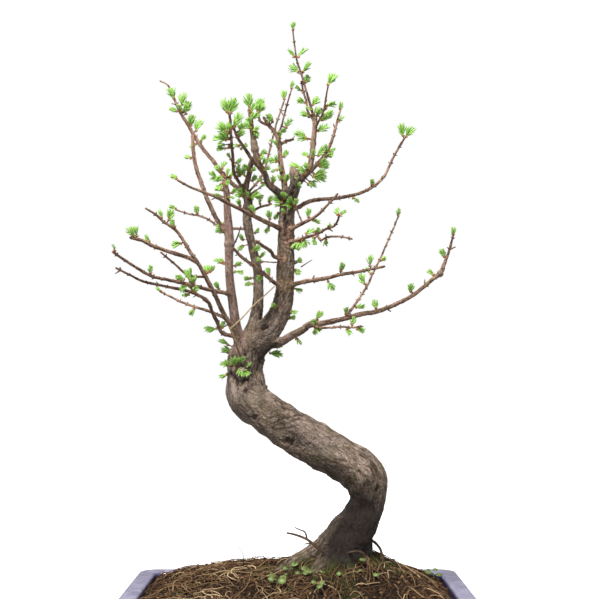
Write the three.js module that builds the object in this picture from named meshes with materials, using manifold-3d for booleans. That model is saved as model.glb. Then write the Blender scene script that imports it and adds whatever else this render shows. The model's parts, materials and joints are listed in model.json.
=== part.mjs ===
// Dawn redwood bonsai in its lobed ceramic pot. Millimetres, +Z up, the front faces -Y.
// The origin is the middle of the pot's underside, on the surface that the pot stands on.

import * as THREE from 'three';
import { mergeVertices } from 'three/addons/utils/BufferGeometryUtils.js';
import Module from 'manifold-3d';

const wasm = await Module();
wasm.setup();

// Clearance between pieces that touch, the grid on which equal vertices are merged, the length
// under which a join or a cut leaves no edge, and the height under which a facet is turned
const GAP = 0.3;
const MERGE_GRID = 1e-4;
const FINEST_EDGE = 0.02;
const WELDS = [0.02, 0.008, 0.003, 0.001];
const THIN_FACET = 0.006;
const THIN_PASSES = 4;

// Pot: a long rectangle with stepped-in corners, on four feet
const POT = {
  length: 340,
  width: 250,
  height: 84,
  notchAlongLength: 41,
  notchAlongWidth: 24,
  cornerRadius: 16,
  notchRadius: 5,
  lipWidth: 19,
  lipHeight: 13,
  lipRound: 2.5,
  lipOverhang: 5,
  footHeight: 8,
  footLength: 54,
  footWidth: 36,
  footInset: 10,
  floorTop: 20,
  lean: 0.03,
  leastRadius: 6,
  curveSteps: 2,
  drillSides: 24,
  join: 2,
};

// Two drain holes in the floor, each under a square of plastic mesh
const DRAIN = {
  spacing: 150,
  holeDiameter: 20,
  screenSide: 38,
  screenThickness: 1.6,
  meshes: 3,
  meshHole: 8,
  rimShare: 0.4,
};

// Soil: level at the wall, heaped round the trunk's foot, with a mat of dead fibres on top
const SOIL = {
  edgeHeight: 77,
  wallFade: 45,
  heap: { height: 26, x: 4, y: 35, alongX: 108, alongY: 76 },
  rootMound: { height: 28, x: 52, y: -8, alongX: 37, alongY: 30 },
  lumps: { height: 1, length: 13, bends: [1.3, 0.8], paces: [0.7, 0.6], closeness: 1.3 },
  cellsAlongX: 22,
  cellsAlongY: 16,
};

const FIBRES = {
  count: 9,
  tries: 180,
  length: [20, 42],
  radius: 1.2,
  arch: 1.6,
  turn: 1.4,
  steps: 3,
  sides: 3,
  margin: 8,
};

// The front view sheet: seen from an eye in front of the trunk, tilted up a little. One sheet
// millimetre is one real millimetre in the trunk's plane, and depth is measured behind that plane
const SHEET = { middle: 299.5, eyeX: 2, eyeHeight: 294, eyeDistance: 985, tiltUp: Math.atan(74.5 / 985) };

// Branches on the sheet: route across and down, thickness from base to tip, depth at the tip and
// sideways bow in depth. Each tuft is the foot and the reach of one rosette of needles
const BRANCHES = {
  trunk: {
    route: [[341, 596], [341, 572], [344, 553], [351, 535], [361, 518], [367, 502], [367.5, 491], [363, 477],
      [352, 466], [336, 456], [311, 442], [285, 425], [262, 410], [248.5, 397], [245.5, 383], [245, 371],
      [247, 358], [252, 346], [261, 333]],
    widths: [64, 66, 58, 46, 38, 35, 39, 43, 41, 39, 41, 41, 40, 42, 38, 34, 35, 31, 20],
    startDepth: 0,
    depth: 6,
    bow: -14,
    tufts: [[287, 446, 292, 438], [230, 366, 220, 364], [235, 361, 229, 354], [231, 372, 223, 376],
      [240, 371, 237, 380], [228, 345, 217, 338], [231, 350, 218, 350], [270, 353, 286, 355]],
  },
  main_stem: {
    from: 'trunk',
    route: [[255, 350], [264, 335], [275, 321], [281, 309], [284, 296], [285, 282], [286, 242], [286.5, 227],
      [287, 212], [288, 196]],
    widths: [24, 23, 21, 20, 19, 18, 17, 16, 16, 15],
    depth: 0,
    bow: -4,
    tufts: [[276, 342, 286, 339], [270, 338, 268, 329], [283, 320, 290, 318], [284, 311, 293, 312],
      [295, 270, 300, 274], [296, 262, 304, 258], [294, 247, 301, 250], [279, 212, 275, 218]],
  },
  middle_stem: {
    from: 'trunk',
    route: [[250, 346], [255, 325], [258, 300], [258, 277], [256, 263], [251.5, 244], [247, 218], [248, 199],
      [243, 190]],
    widths: [20, 14, 10.5, 10, 9.5, 9, 9.5, 9.5, 8],
    depth: 18,
    bow: 6,
    tufts: [[252, 284, 244, 284], [251, 278, 242, 279], [260, 257, 265, 252], [255, 233, 260, 229],
      [243, 240, 239, 234], [243, 246, 238, 250], [252, 196, 257, 190]],
  },
  left_stem: {
    from: 'trunk',
    route: [[246, 352], [238, 334], [235, 320], [232.5, 301], [230, 282], [229, 257], [229.5, 244], [227.5, 212],
      [227, 205], [226.5, 192], [224, 180]],
    widths: [16, 10, 9.6, 9.2, 8.6, 8.4, 10, 7.6, 7.2, 6.6, 5],
    depth: -20,
    bow: -6,
    tufts: [[235, 272, 245, 273], [235, 266, 243, 262], [224, 264, 218, 257], [222, 262, 211, 259],
      [223, 232, 213, 229], [224, 231, 222, 221], [232, 193, 238, 188], [222, 197, 211, 195],
      [222, 183, 217, 191]],
  },
  left_high: {
    from: 'left_stem',
    route: [[233, 345], [229, 323], [222, 310], [215, 295], [207, 279.5], [199.5, 265.5], [189, 250], [181.5, 237.5],
      [175, 229.5], [164, 222], [155, 214], [146, 208.5]],
    widths: [6, 2],
    depth: -48,
    bow: -8,
    tufts: [[222, 328, 224, 320], [207.5, 273, 206, 263], [210, 272, 215, 264],
      [181, 243.5, 169, 246], [177, 232, 172.5, 222], [169, 220, 172, 206], [162.5, 220, 159, 210]],
  },
  left_low: {
    from: 'left_stem',
    route: [[232, 340], [222.5, 333], [217, 321.5], [212, 311.5], [208.5, 302.5], [198, 295], [189, 291.5],
      [163.5, 286], [142, 281], [132, 276], [116, 268]],
    widths: [4.4, 1.8],
    depth: -100,
    bow: 4,
    tufts: [[218, 328.5, 203, 329], [192, 290, 187, 283], [189, 294.5, 180, 296]],
  },
  left_long: {
    from: 'left_stem',
    route: [[227.5, 295], [210, 290], [189, 284.5], [164, 279], [151, 276], [142, 271], [132, 265], [123, 259],
      [113, 252]],
    widths: [4.2, 2.4],
    depth: -104,
    bow: -6,
    tufts: [[219, 289, 214, 280], [194, 283, 195, 273], [190, 280, 187, 265], [184, 279.5, 173, 276],
      [150.5, 274, 150.5, 266], [115, 252, 113.5, 245]],
  },
  left_stub: {
    from: 'left_high',
    route: [[199.5, 262], [189, 258], [176.5, 254], [164, 250], [151, 245], [142, 240.5], [131, 237.5]],
    widths: [4.2, 3.2],
    depth: -62,
    bow: 0,
    tufts: [[150, 243, 145, 235], [137, 236, 136, 224], [134, 236, 126, 225]],
  },
  left_inner: {
    from: 'left_high',
    route: [[205, 277], [188, 275], [176.5, 265.5], [161, 252.5]],
    widths: [2.8, 1.8],
    depth: -72,
    bow: 0,
    tufts: [],
  },
  left_back: {
    from: 'left_high',
    route: [[225, 319], [210, 311.5], [197, 307.5], [181.5, 302], [171, 297], [160, 291.5]],
    widths: [3.4, 2],
    depth: 44,
    bow: 4,
    tufts: [[194, 309, 190, 316], [162, 292, 155, 287]],
  },
  behind_left: {
    from: 'middle_stem',
    route: [[239, 231], [220, 227], [208.5, 219.5], [198, 215.5], [189, 214], [176.5, 210]],
    widths: [3, 1.8],
    depth: 74,
    bow: 10,
    tufts: [[197.5, 214, 195.5, 204], [176, 209, 168, 205]],
  },
  outer_left: {
    from: 'left_stem',
    route: [[224.5, 235], [220, 224.5], [210, 205.5], [201, 182], [197, 170.5], [194.5, 160], [193.3, 150],
      [192.5, 136]],
    widths: [5, 3.4],
    depth: -8,
    bow: -10,
    tufts: [[191, 158, 185, 156]],
  },
  top_left: {
    from: 'middle_stem',
    route: [[243, 190], [236.5, 187], [228, 179.5], [220, 170.5], [212.5, 160], [205, 151.5], [198.5, 142.5],
      [192, 132], [188, 124.5], [183, 117], [179, 110], [173, 95.5], [170.5, 89], [166.5, 84], [160, 81]],
    widths: [6, 5, 4.6, 4.4, 4.2, 4, 4, 3.8, 3.6, 3.4, 3, 2.4, 2, 1.8, 1.4],
    depth: 52,
    bow: 6,
    tufts: [[230, 178, 235, 170], [218, 180, 208, 179], [217, 178, 208, 170], [222, 169, 226, 160],
      [201, 141, 207, 133], [196, 144, 190, 148], [196, 131, 202, 116], [191, 127, 192, 113],
      [185, 112, 191, 98], [182, 105, 184.5, 89], [178, 111, 173, 97], [178, 111.5, 168, 108]],
  },
  upright_left: {
    from: 'middle_stem',
    route: [[242, 190], [240, 184], [234, 173], [233, 160], [232, 147.5], [231, 135], [230.5, 122], [229.5, 115.5]],
    widths: [3.6, 2.6],
    depth: -30,
    bow: -4,
    tufts: [[240, 174, 247, 167], [236, 163, 243, 158], [228, 148, 234, 142], [225, 148.5, 214, 149],
      [226, 140, 210, 137], [228, 134, 213, 123], [228, 133, 228, 122], [231, 113, 238, 90], [228, 113, 227.5, 97],
      [227, 112, 221, 93]],
  },
  inner_riser: {
    from: 'middle_stem',
    route: [[247, 190], [249.5, 173], [251, 164], [254, 158]],
    widths: [6, 6],
    depth: 4,
    bow: 0,
    tufts: [[248, 178, 241, 172], [252, 181, 257, 175]],
  },
  knobby_stem: {
    from: 'main_stem',
    route: [[287, 201], [280, 194], [274, 189], [268.5, 184.5], [264.5, 173], [258.5, 164], [256, 154], [254.5, 147],
      [253, 137], [251.5, 126], [250.5, 117], [249.5, 110]],
    widths: [9, 8, 7, 6.6, 6.4, 6.4, 6.6, 7.6, 5.6, 5, 4.4, 4],
    depth: -18,
    bow: -6,
    tufts: [[272, 186, 274, 177], [262, 183, 258, 178], [259, 156, 267, 150], [256, 131, 257, 140],
      [254, 118, 260, 112], [250, 108, 247.5, 90]],
  },
  fork_left: {
    from: 'knobby_stem',
    route: [[260, 168.5], [253.5, 162], [247.5, 152.5], [242, 144.5], [237.5, 137.5], [233, 126]],
    widths: [4.2, 2.4],
    depth: -58,
    bow: -4,
    tufts: [[241, 149, 246, 145], [239, 146, 233, 145], [241, 131, 240, 121], [241, 130, 249, 119],
      [235, 127, 241, 109]],
  },
  crown_left: {
    from: 'main_stem',
    route: [[287, 200], [285.5, 191.5], [283.5, 180], [281.5, 168.5], [280, 157], [279.5, 146], [277.5, 137.5],
      [274, 131], [268.5, 125], [264, 118]],
    widths: [8, 6.4, 6, 5.6, 5.4, 5, 4.6, 4.2, 3.8, 3.2],
    depth: 30,
    bow: 4,
    tufts: [[277, 170, 269, 172], [276, 162, 266, 158], [284, 157, 288, 149], [275.5, 143, 269, 140],
      [281, 133, 287, 128], [273, 122, 266, 112]],
  },
  crown_side: {
    from: 'crown_left',
    route: [[268, 126], [260, 121], [258.5, 112]],
    widths: [3, 2.2],
    depth: 22,
    bow: 0,
    tufts: [[258.3, 110, 262, 94]],
  },
  crown_stub: {
    from: 'crown_left',
    route: [[280, 144.5], [287, 141], [293, 139.5]],
    widths: [3.6, 2.8],
    depth: 46,
    bow: 0,
    tufts: [],
  },
  thin_riser: {
    from: 'middle_stem',
    route: [[250, 193], [260.5, 178], [265, 168.5], [268.5, 155], [272, 141], [276, 125], [282, 107], [284, 101]],
    widths: [2.6, 1.7],
    depth: 62,
    bow: 8,
    tufts: [[284.4, 99, 284.4, 88]],
  },
  thin_pair: {
    from: 'crown_left',
    route: [[279, 134], [281, 127.5], [283.5, 118], [287, 104.5], [291.5, 89.5]],
    widths: [2.2, 1.5],
    depth: 10,
    bow: 0,
    tufts: [[286, 128, 292.5, 116], [291.5, 89, 293, 80]],
  },
  right_fork: {
    from: 'main_stem',
    route: [[289, 200], [293, 189], [299.5, 181.5], [305, 174.5], [309.5, 167.5], [312, 156], [313.2, 144.5],
      [314.3, 134], [315, 124], [314.3, 117.5]],
    widths: [10, 8.4, 7.4, 6.8, 6.4, 6, 5.8, 5.2, 5.4, 6],
    depth: 6,
    bow: -4,
    tufts: [[297, 191, 291, 198], [301, 176, 296, 171], [302, 168, 286, 163], [310, 157.5, 303, 153],
      [318, 156, 326, 145], [306, 138, 291, 129], [307, 139, 294, 139], [318, 131, 331, 124], [317, 117, 322, 107]],
  },
  leader: {
    from: 'right_fork',
    route: [[314, 118], [311, 108], [308.5, 98.5], [305, 87], [301.5, 74], [298.5, 66], [296.5, 58.5], [295.3, 51],
      [294, 41], [293, 32]],
    widths: [3, 1.4],
    depth: 0,
    bow: 2,
    tufts: [[311.5, 106, 320, 96], [304.5, 84, 309, 75], [303, 72, 312, 60], [298.5, 72, 286, 64], [298.4, 57, 309, 45],
      [294, 57, 288, 47], [293, 30, 294, 20]],
  },
  leader_twin: {
    from: 'right_fork',
    route: [[312, 121], [308, 112], [306.5, 102], [303.5, 92], [301.5, 81.5]],
    widths: [2.8, 1.8],
    depth: 20,
    bow: 0,
    tufts: [[308, 116, 298, 111], [306, 103, 296, 99], [302.5, 91, 296, 87]],
  },
  tan_twig: {
    from: 'right_fork',
    route: [[315, 129], [318, 122.5], [322, 115], [324.5, 107], [326, 97], [328, 87]],
    widths: [2.6, 1.6],
    depth: -40,
    bow: 0,
    tufts: [[322, 120, 334, 112], [327, 106, 338.5, 102], [328, 85, 337, 69]],
  },
  right_riser: {
    from: 'main_stem',
    route: [[290, 198], [297, 185], [307, 174.5], [317, 164.5], [324.5, 155.5], [331, 143], [335, 130], [337.5, 120],
      [340, 111]],
    widths: [6.4, 5.6, 5, 4.4, 4, 3.4, 2.8, 2.4, 2],
    depth: 66,
    bow: 4,
    tufts: [[308, 184, 319, 186], [313, 177, 332, 179], [320, 167, 332, 163], [329, 152, 335, 149],
      [338, 122, 345, 116], [340, 110, 342, 101]],
  },
  split_stump: {
    from: 'main_stem',
    route: [[292, 200], [295, 186], [293.5, 168.5]],
    widths: [12, 10, 9],
    depth: -10,
    bow: 0,
    tufts: [],
  },
  right_long: {
    from: 'main_stem',
    route: [[290, 211], [298, 207.5], [305.5, 203], [316, 200], [338, 198], [359, 193.5], [371, 188], [378, 183],
      [384.5, 176], [388.5, 168], [393.5, 157], [400, 145.5], [404, 139]],
    widths: [4.6, 2.2],
    depth: 58,
    bow: 8,
    tufts: [[353, 198, 360, 203], [371.5, 186, 372.5, 178], [403, 136, 400.5, 119], [406, 137, 416.5, 124]],
  },
  right_short: {
    from: 'main_stem',
    route: [[286, 232], [291, 229.5], [300, 224.5], [311, 219], [317.5, 215], [324.5, 208], [332.5, 200], [337.5, 194]],
    widths: [4.4, 2],
    depth: -48,
    bow: -6,
    tufts: [[295, 205, 297, 197], [308.5, 217, 309, 206], [313, 220, 320, 223]],
  },
  right_front: {
    from: 'main_stem',
    route: [[288, 243], [296, 240.5], [305.5, 237.5], [313.5, 235], [320, 232.5], [327, 228.5], [334, 226],
      [338, 220], [339, 216]],
    widths: [3.8, 2],
    depth: -84,
    bow: -6,
    tufts: [[304, 240, 304, 250], [306, 234, 317, 228], [327, 230, 330, 225], [338, 215, 336, 208],
      [340, 216, 347, 209]],
  },
  right_front_low: {
    from: 'right_front',
    route: [[317, 234], [320.5, 240], [327, 237], [335, 236.5], [343, 237], [352, 239]],
    widths: [2.4, 1.7],
    depth: -96,
    bow: 0,
    tufts: [[314, 238, 314, 247], [326, 239, 326, 246]],
  },
  right_middle: {
    from: 'main_stem',
    route: [[286, 288], [292, 285], [303, 282], [327, 278], [340.5, 274.5], [354, 272.5], [367, 270], [384, 266.5]],
    widths: [5, 2.4],
    depth: -58,
    bow: -8,
    tufts: [[294, 288.5, 305, 292], [328, 281.5, 334, 293], [340.5, 271, 343.5, 260], [370, 266, 371, 252]],
  },
  right_low: {
    from: 'main_stem',
    route: [[262, 350], [280, 342], [292, 335.5], [303, 330], [309.5, 325], [320, 324], [340.5, 319.5], [362, 314],
      [375, 312], [387, 308], [400.5, 302], [412.5, 295.5], [423.5, 287], [434, 278], [440, 273.5], [445, 262],
      [449, 251], [453, 236.5]],
    widths: [12, 9, 8, 7.4, 7, 6.4, 5.4, 4.8, 4.4, 4.2, 4, 3.8, 3.6, 4, 5, 3.2, 2.4, 2],
    depth: -34,
    bow: -16,
    tufts: [[296, 338, 300, 343], [315.5, 328, 314, 336], [317, 319, 322.5, 309], [346, 316, 346.5, 307],
      [376, 309, 374, 298], [411, 292, 411, 281], [434, 275, 429, 271], [444.5, 257, 440, 246.5],
      [453, 236.5, 453.5, 226.5]],
  },
  low_riser: {
    from: 'right_low',
    route: [[343, 321], [346, 316.5], [354, 306], [362, 294], [368, 284.5], [372.5, 274], [380.5, 258], [387, 243],
      [394, 227], [398, 217]],
    widths: [2.8, 1.7],
    depth: 78,
    bow: 6,
    tufts: [[356, 307.5, 367, 305], [365, 284, 358.5, 270], [371, 274, 364.5, 266], [380, 261, 386, 257],
      [398, 216, 400, 207]],
  },
  low_front: {
    from: 'right_low',
    route: [[312, 325], [320.5, 327.5], [332, 327.5], [343, 326.7], [353.5, 327.5], [361, 326]],
    widths: [2.6, 1.8],
    depth: -72,
    bow: -8,
    tufts: [[347, 329.5, 351, 336], [357, 329, 365, 331], [352, 324.5, 355, 316]],
  },
  front_left: {
    from: 'main_stem',
    route: [[284, 230], [277, 227], [266, 222], [253, 215.5], [240, 209], [227.5, 203], [215, 196.5], [202, 191.5],
      [189, 186.5], [177.5, 180]],
    widths: [5.4, 2],
    depth: -82,
    bow: -12,
    tufts: [[269, 226, 265, 234], [270, 219, 268, 208], [254, 213, 250, 203], [240, 206, 237, 197],
      [178, 180, 171, 175]],
  },
  front_twig: {
    from: 'main_stem',
    route: [[281, 288], [277, 284.5], [266, 275.5], [253, 265.5], [240, 255.5], [234, 249]],
    widths: [4.2, 3],
    depth: -62,
    bow: -6,
    tufts: [[269, 276, 268, 267], [262, 276, 256, 281]],
  },
  front_spur: {
    from: 'main_stem',
    route: [[279, 259], [274, 256.5], [271, 251.5], [263, 246], [256, 241]],
    widths: [4.2, 3],
    depth: -50,
    bow: -4,
    tufts: [],
  },
  inner_twig: {
    from: 'middle_stem',
    route: [[248, 216], [258, 208], [266, 205.5], [271, 204]],
    widths: [3.2, 2.4],
    depth: 36,
    bow: 4,
    tufts: [[260, 204, 260, 195], [269, 202, 272, 194]],
  },
};

// Buttress roots round the trunk's foot: bearing from +X towards the back, reach, thickness
const BUTTRESSES = [[178, 64, 21], [222, 44, 20], [275, 34, 18], [350, 20, 16], [60, 36, 16], [120, 46, 18]];

// A buttress leaves the trunk near a point of the sheet; share of its reach and height along it
const BUTTRESS = {
  sheetFoot: [348, 552],
  inset: 6,
  profile: [[0, 144], [0.45, 121], [0.8, 106], [1.05, 94], [1.25, 78]],
  taper: [0.8, 1, 0.9, 0.6, 0.3],
  sides: 6,
};

// Roots that lie bare on the soil, on the sheet with their depth
const BARE_ROOTS = [
  { route: [[350, 545, 0], [330, 558, -22], [322, 551, -30], [307, 539.5, -34], [296, 535, -36], [287, 533, -38]],
    widths: [8, 4, 3, 2.6, 2.2, 1.8] },
  { route: [[366, 538, 0], [373, 541, -4], [377.5, 545, -8], [381, 551, -12], [382.5, 561, -15], [382.5, 574, -16]],
    widths: [6, 3, 2.6, 2.6, 2.4, 2.4] },
  { route: [[352, 556, -8], [349, 553, -34], [356, 551.5, -38], [363, 553, -40], [367, 561, -42], [367, 583, -44]],
    widths: [6, 3, 2.8, 2.6, 2.4, 2.2] },
];

// Needle rosettes: a slim three-sided core, with every second face drawn out into a needle. The
// needles stand out at one splay for each band of the core, with more bands in a longer rosette
const ROSETTE = {
  coreSides: 3,
  coreRadius: 0.85,
  coreTipRadius: 0.6,
  coreShare: 0.36,
  splays: [[60, 30], [66, 44, 24]],
  reaches: [14],
  needleShare: 0.68,
  longestNeedle: 11,
  shortestReach: 9,
  needleRadius: 0.4,
  needleGap: 0.25,
  lean: 12,
  splayScatter: 10,
  splayLimits: [4, 78],
  lengthScatter: [0.88, 0.24],
  bends: [[0, 1], [-14, 1], [12, 1], [0, 0.75], [-14, 0.7], [0, 0.5]],
  footStep: 0.4,
  footFurthest: 16,
};

// Sprays: neighbouring rosettes on one branch share a slim green shoot that hugs the branch. The
// smallest lone rosettes past the limit on nodes are fused to the wood
const SPRAY = {
  link: 42,
  linkOnStem: 24,
  most: 5,
  limit: 52,
  shootRadius: 0.8,
  stalkRadius: 0.65,
  stemWidth: 9,
  spurRadius: 0.9,
  sides: 12,
  twinReach: 16,
  liftShare: 1.6,
  spacing: 12,
  stalkTurn: Math.PI / 3,
  closestBends: 0.4,
  closestToFoot: 0.8,
  lineGap: 0.21,
  costPerPoint: 4,
  spurBend: 1,
};

// Seedlings on the soil: foot on the sheet, leaf count, leaf size and stem height
const SEEDLINGS = [
  { foot: [277, 588], leaves: 4, leafSize: 10, height: 9 },
  { foot: [318, 592], leaves: 3, leafSize: 8, height: 7 },
  { foot: [434, 580], leaves: 3, leafSize: 9, height: 8 },
];
const LEAF = {
  thickness: 0.8,
  lobes: 5,
  lobeDepth: 0.12,
  points: 7,
  openShare: 0.92,
  stalkShare: 0.35,
  stalkHalfWidth: 0.45,
  sizeScatter: [0.8, 0.3],
  tilt: [-0.35, 0.25],
  drop: 0.8,
  dropStep: 0.4,
};
const STEM = { radius: 0.8, topRadius: 0.7, sides: 4, sunk: 5, leafRoom: 1.3, roomDepth: 2, holeTop: 3, holeSides: 6 };

// Facets of the limbs: sides for each thickness, and the distance between rings
const FACETS = {
  sides: [[5.2, 4], [9, 5], [15, 6], [28, 8]],
  mostSides: 12,
  thickWidth: 28,
  thickSpacing: 10,
  thinSpacing: 12.5,
};

// The trunk's bark: broad ropes that turn round it, and old scars
const ROPES = [{ height: 0.06, turns: 4, climb: 16, shift: 0 }, { height: 0.03, turns: 5, climb: -23, shift: 1 }];
const SCARS = { height: 0.05, turns: 3, climb: 60, beats: 41 };

// Room kept for a limb, as a share of its radius: the trunk's ropes stand out of its line
const TRUNK_ROOM = 1.12;
const LIMB_ROOM = 1.02;

const FINISHES = {
  glaze: { color: 0x9c9cc8, roughness: 0.25 },
  mesh: { color: 0x24262a, roughness: 0.6 },
  soil: { color: 0x6b4f3a, roughness: 1 },
  bark: { color: 0x8a7260, roughness: 0.9 },
  needles: { color: 0x78b446, roughness: 0.6 },
  seedling: { color: 0x7f9a4e, roughness: 0.6 },
};

const SEED = 1706;

// A seeded generator of numbers from 0 to 1
function makeRandom(seed) {
  let state = seed;
  return () => {
    state = (state + 0x6d2b79f5) | 0;
    let mixed = Math.imul(state ^ (state >>> 15), 1 | state);
    mixed = (mixed + Math.imul(mixed ^ (mixed >>> 7), 61 | mixed)) ^ mixed;
    return ((mixed ^ (mixed >>> 14)) >>> 0) / 4294967296;
  };
}

// Solids and geometry
function toSolid(geometry) {
  const bare = geometry.clone();
  bare.deleteAttribute('normal');
  bare.deleteAttribute('uv');
  const merged = mergeVertices(bare, MERGE_GRID);
  return new wasm.Manifold(new wasm.Mesh({
    numProp: 3,
    vertProperties: new Float32Array(merged.attributes.position.array),
    triVerts: new Uint32Array(merged.index.array),
    tolerance: FINEST_EDGE,
  }));
}

// Faces with corners closer than a distance welded, less those that close up or cancel out
function weld(loose, distance) {
  const welded = mergeVertices(loose, distance);
  const faces = new Map();
  for (let i = 0; i < welded.index.count; i += 3) {
    const face = [0, 1, 2].map((k) => welded.index.getX(i + k));
    const key = [...face].sort((a, b) => a - b).join();
    if (new Set(face).size === 3 && !faces.delete(key)) {
      faces.set(key, face);
    }
  }
  welded.setIndex([...faces.values()].flat());
  return welded;
}

function everyEdgeHasTwoFaces(geometry) {
  const edges = new Map();
  const { index } = geometry;
  for (let i = 0; i < index.count; i += 1) {
    const next = i % 3 === 2 ? i - 2 : i + 1;
    const key = [index.getX(i), index.getX(next)].sort((a, b) => a - b).join();
    edges.set(key, (edges.get(key) ?? 0) + 1);
  }
  return [...edges.values()].every((count) => count === 2);
}

function facetHeight(a, b, c) {
  const longest = Math.max(a.distanceTo(b), b.distanceTo(c), c.distanceTo(a));
  return facetNormal(a, b, c).length() / longest;
}

function facetNormal(a, b, c) {
  return b.clone().sub(a).cross(c.clone().sub(a));
}

// The same facet with its corners started so that its longest edge comes first
function longestEdgeFirst(face, points) {
  const lengths = face.map((corner, k) => points[corner].distanceTo(points[face[(k + 1) % 3]]));
  const first = lengths.indexOf(Math.max(...lengths));
  return [face[first], face[(first + 1) % 3], face[(first + 2) % 3]];
}

// Facets of almost no height cleared: such a facet and its neighbour across its longest edge make a
// quadrilateral, which is parted along its other diagonal wherever that gives two better facets
function turnThinFacets(geometry) {
  const { position } = geometry.attributes;
  const pointAt = (_, i) => new THREE.Vector3().fromBufferAttribute(position, i);
  const points = Array.from({ length: position.count }, pointAt);
  const flat = [...geometry.index.array];
  const faces = Array.from({ length: flat.length / 3 }, (_, i) => flat.slice(3 * i, 3 * i + 3));
  const owners = new Map();
  const claim = (i) => faces[i].forEach((corner, k) => owners.set(`${corner} ${faces[i][(k + 1) % 3]}`, i));
  faces.forEach((_, i) => claim(i));
  const height = (face) => facetHeight(...face.map((corner) => points[corner]));
  const normal = (face) => facetNormal(...face.map((corner) => points[corner]));
  for (let pass = 0; pass < THIN_PASSES; pass += 1) {
    faces.forEach((face, i) => {
      if (height(face) >= THIN_FACET) {
        return;
      }
      const [a, b, c] = longestEdgeFirst(face, points);
      const other = owners.get(`${b} ${a}`);
      const d = faces[other].find((corner) => corner !== a && corner !== b);
      const turned = [[a, d, c], [d, b, c]];
      const better = turned.every((next) => height(next) > height(face));
      const sameSide = turned.every((next) => normal(next).dot(normal(faces[other])) > 0);
      if (better && sameSide && !owners.has(`${c} ${d}`) && !owners.has(`${d} ${c}`)) {
        owners.delete(`${a} ${b}`);
        owners.delete(`${b} ${a}`);
        [faces[i], faces[other]] = turned;
        claim(i);
        claim(other);
      }
    });
  }
  geometry.setIndex(faces.flat());
  return geometry;
}

// The mesh of a solid, welded as coarsely as leaves it closed
function toGeometry(solid) {
  const mesh = solid.getMesh();
  const loose = new THREE.BufferGeometry();
  loose.setAttribute('position', new THREE.BufferAttribute(mesh.vertProperties, 3));
  loose.setIndex(new THREE.BufferAttribute(mesh.triVerts, 1));
  const choices = WELDS.map((distance) => weld(loose, distance));
  const welded = turnThinFacets(choices.find(everyEdgeHasTwoFaces) ?? loose);
  welded.computeVertexNormals();
  return welded;
}

function join(solids) {
  return solids.reduce((whole, solid) => whole.add(solid));
}

function largestBody(solid) {
  return solid.decompose().reduce((best, body) => (body.volume() > best.volume() ? body : best));
}

// A point of the front view sheet, at a depth behind the trunk's plane, as a point in space
function place(across, down, depth) {
  const side = across - SHEET.middle;
  const rise = SHEET.middle - down;
  const cos = Math.cos(SHEET.tiltUp);
  const sin = Math.sin(SHEET.tiltUp);
  const forward = SHEET.eyeDistance * cos - rise * sin;
  const upward = SHEET.eyeDistance * sin + rise * cos;
  const scale = (depth + SHEET.eyeDistance) / forward;
  return new THREE.Vector3(SHEET.eyeX + side * scale, depth, SHEET.eyeHeight + upward * scale);
}

// Height of the soil's top over the table
function bell(x, y, hill) {
  return hill.height * Math.exp(-0.5 * (((x - hill.x) / hill.alongX) ** 2 + ((y - hill.y) / hill.alongY) ** 2));
}

function fadeToWall(distance) {
  const share = THREE.MathUtils.clamp(distance / SOIL.wallFade, 0, 1);
  return share * (2 - share);
}

function soilTop(x, y) {
  const { height, length, bends, paces, closeness } = SOIL.lumps;
  const u = x / length;
  const v = y / length;
  const lumps = Math.sin(u + bends[0] * Math.sin(v * paces[0]))
    + Math.sin(v * closeness + bends[1] * Math.sin(u * paces[1]));
  const fade = fadeToWall(POT.length / 2 - POT.lipWidth - Math.abs(x))
    * fadeToWall(POT.width / 2 - POT.lipWidth - Math.abs(y));
  return SOIL.edgeHeight + fade * (bell(x, y, SOIL.heap) + bell(x, y, SOIL.rootMound)) + height * lumps;
}

// Where the line of sight through a sheet point meets the soil
function onSoil(across, down) {
  const front = -POT.width / 2;
  const back = POT.width / 2;
  for (let depth = front; depth < back; depth += 1) {
    const point = place(across, down, depth);
    if (point.z <= soilTop(point.x, point.y)) {
      return point;
    }
  }
  return place(across, down, back);
}

// Frames carried along a line of points without twist
function framesAlong(points) {
  const tangents = points.map((point, i) => {
    const before = points[Math.max(i - 1, 0)];
    const after = points[Math.min(i + 1, points.length - 1)];
    return after.clone().sub(before).normalize();
  });
  const backwards = new THREE.Vector3(0, 1, 0);
  const sideways = new THREE.Vector3(1, 0, 0);
  let normal = Math.abs(tangents[0].y) < 0.9 ? backwards : sideways;
  return points.map((point, i) => {
    const tangent = tangents[i];
    normal = normal.clone().addScaledVector(tangent, -normal.dot(tangent)).normalize();
    return { point, tangent, normal, binormal: normal.clone().cross(tangent) };
  });
}

// A round bar bent along points, its radius given for each of them, its end flat or drawn to a
// point; relief varies the radius round and along it
function bar(points, radii, sides, { relief = () => 1, pointed = false } = {}) {
  const frames = framesAlong(points);
  const steps = points.length - 1;
  const geometry = new THREE.CylinderGeometry(pointed ? 0 : 1, 1, 1, sides, steps);
  const position = geometry.attributes.position;
  for (let i = 0; i < position.count; i += 1) {
    const station = Math.round((position.getY(i) + 0.5) * steps);
    const { point, normal, binormal } = frames[station];
    const angle = Math.atan2(position.getZ(i), position.getX(i));
    const onAxis = Math.hypot(position.getZ(i), position.getX(i)) < 1e-6;
    const radius = onAxis ? 0 : radii[station] * relief(station / steps, angle);
    const moved = point.clone()
      .addScaledVector(normal, Math.cos(angle) * radius)
      .addScaledVector(binormal, Math.sin(angle) * radius);
    position.setXYZ(i, moved.x, moved.y, moved.z);
  }
  return geometry;
}

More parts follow.
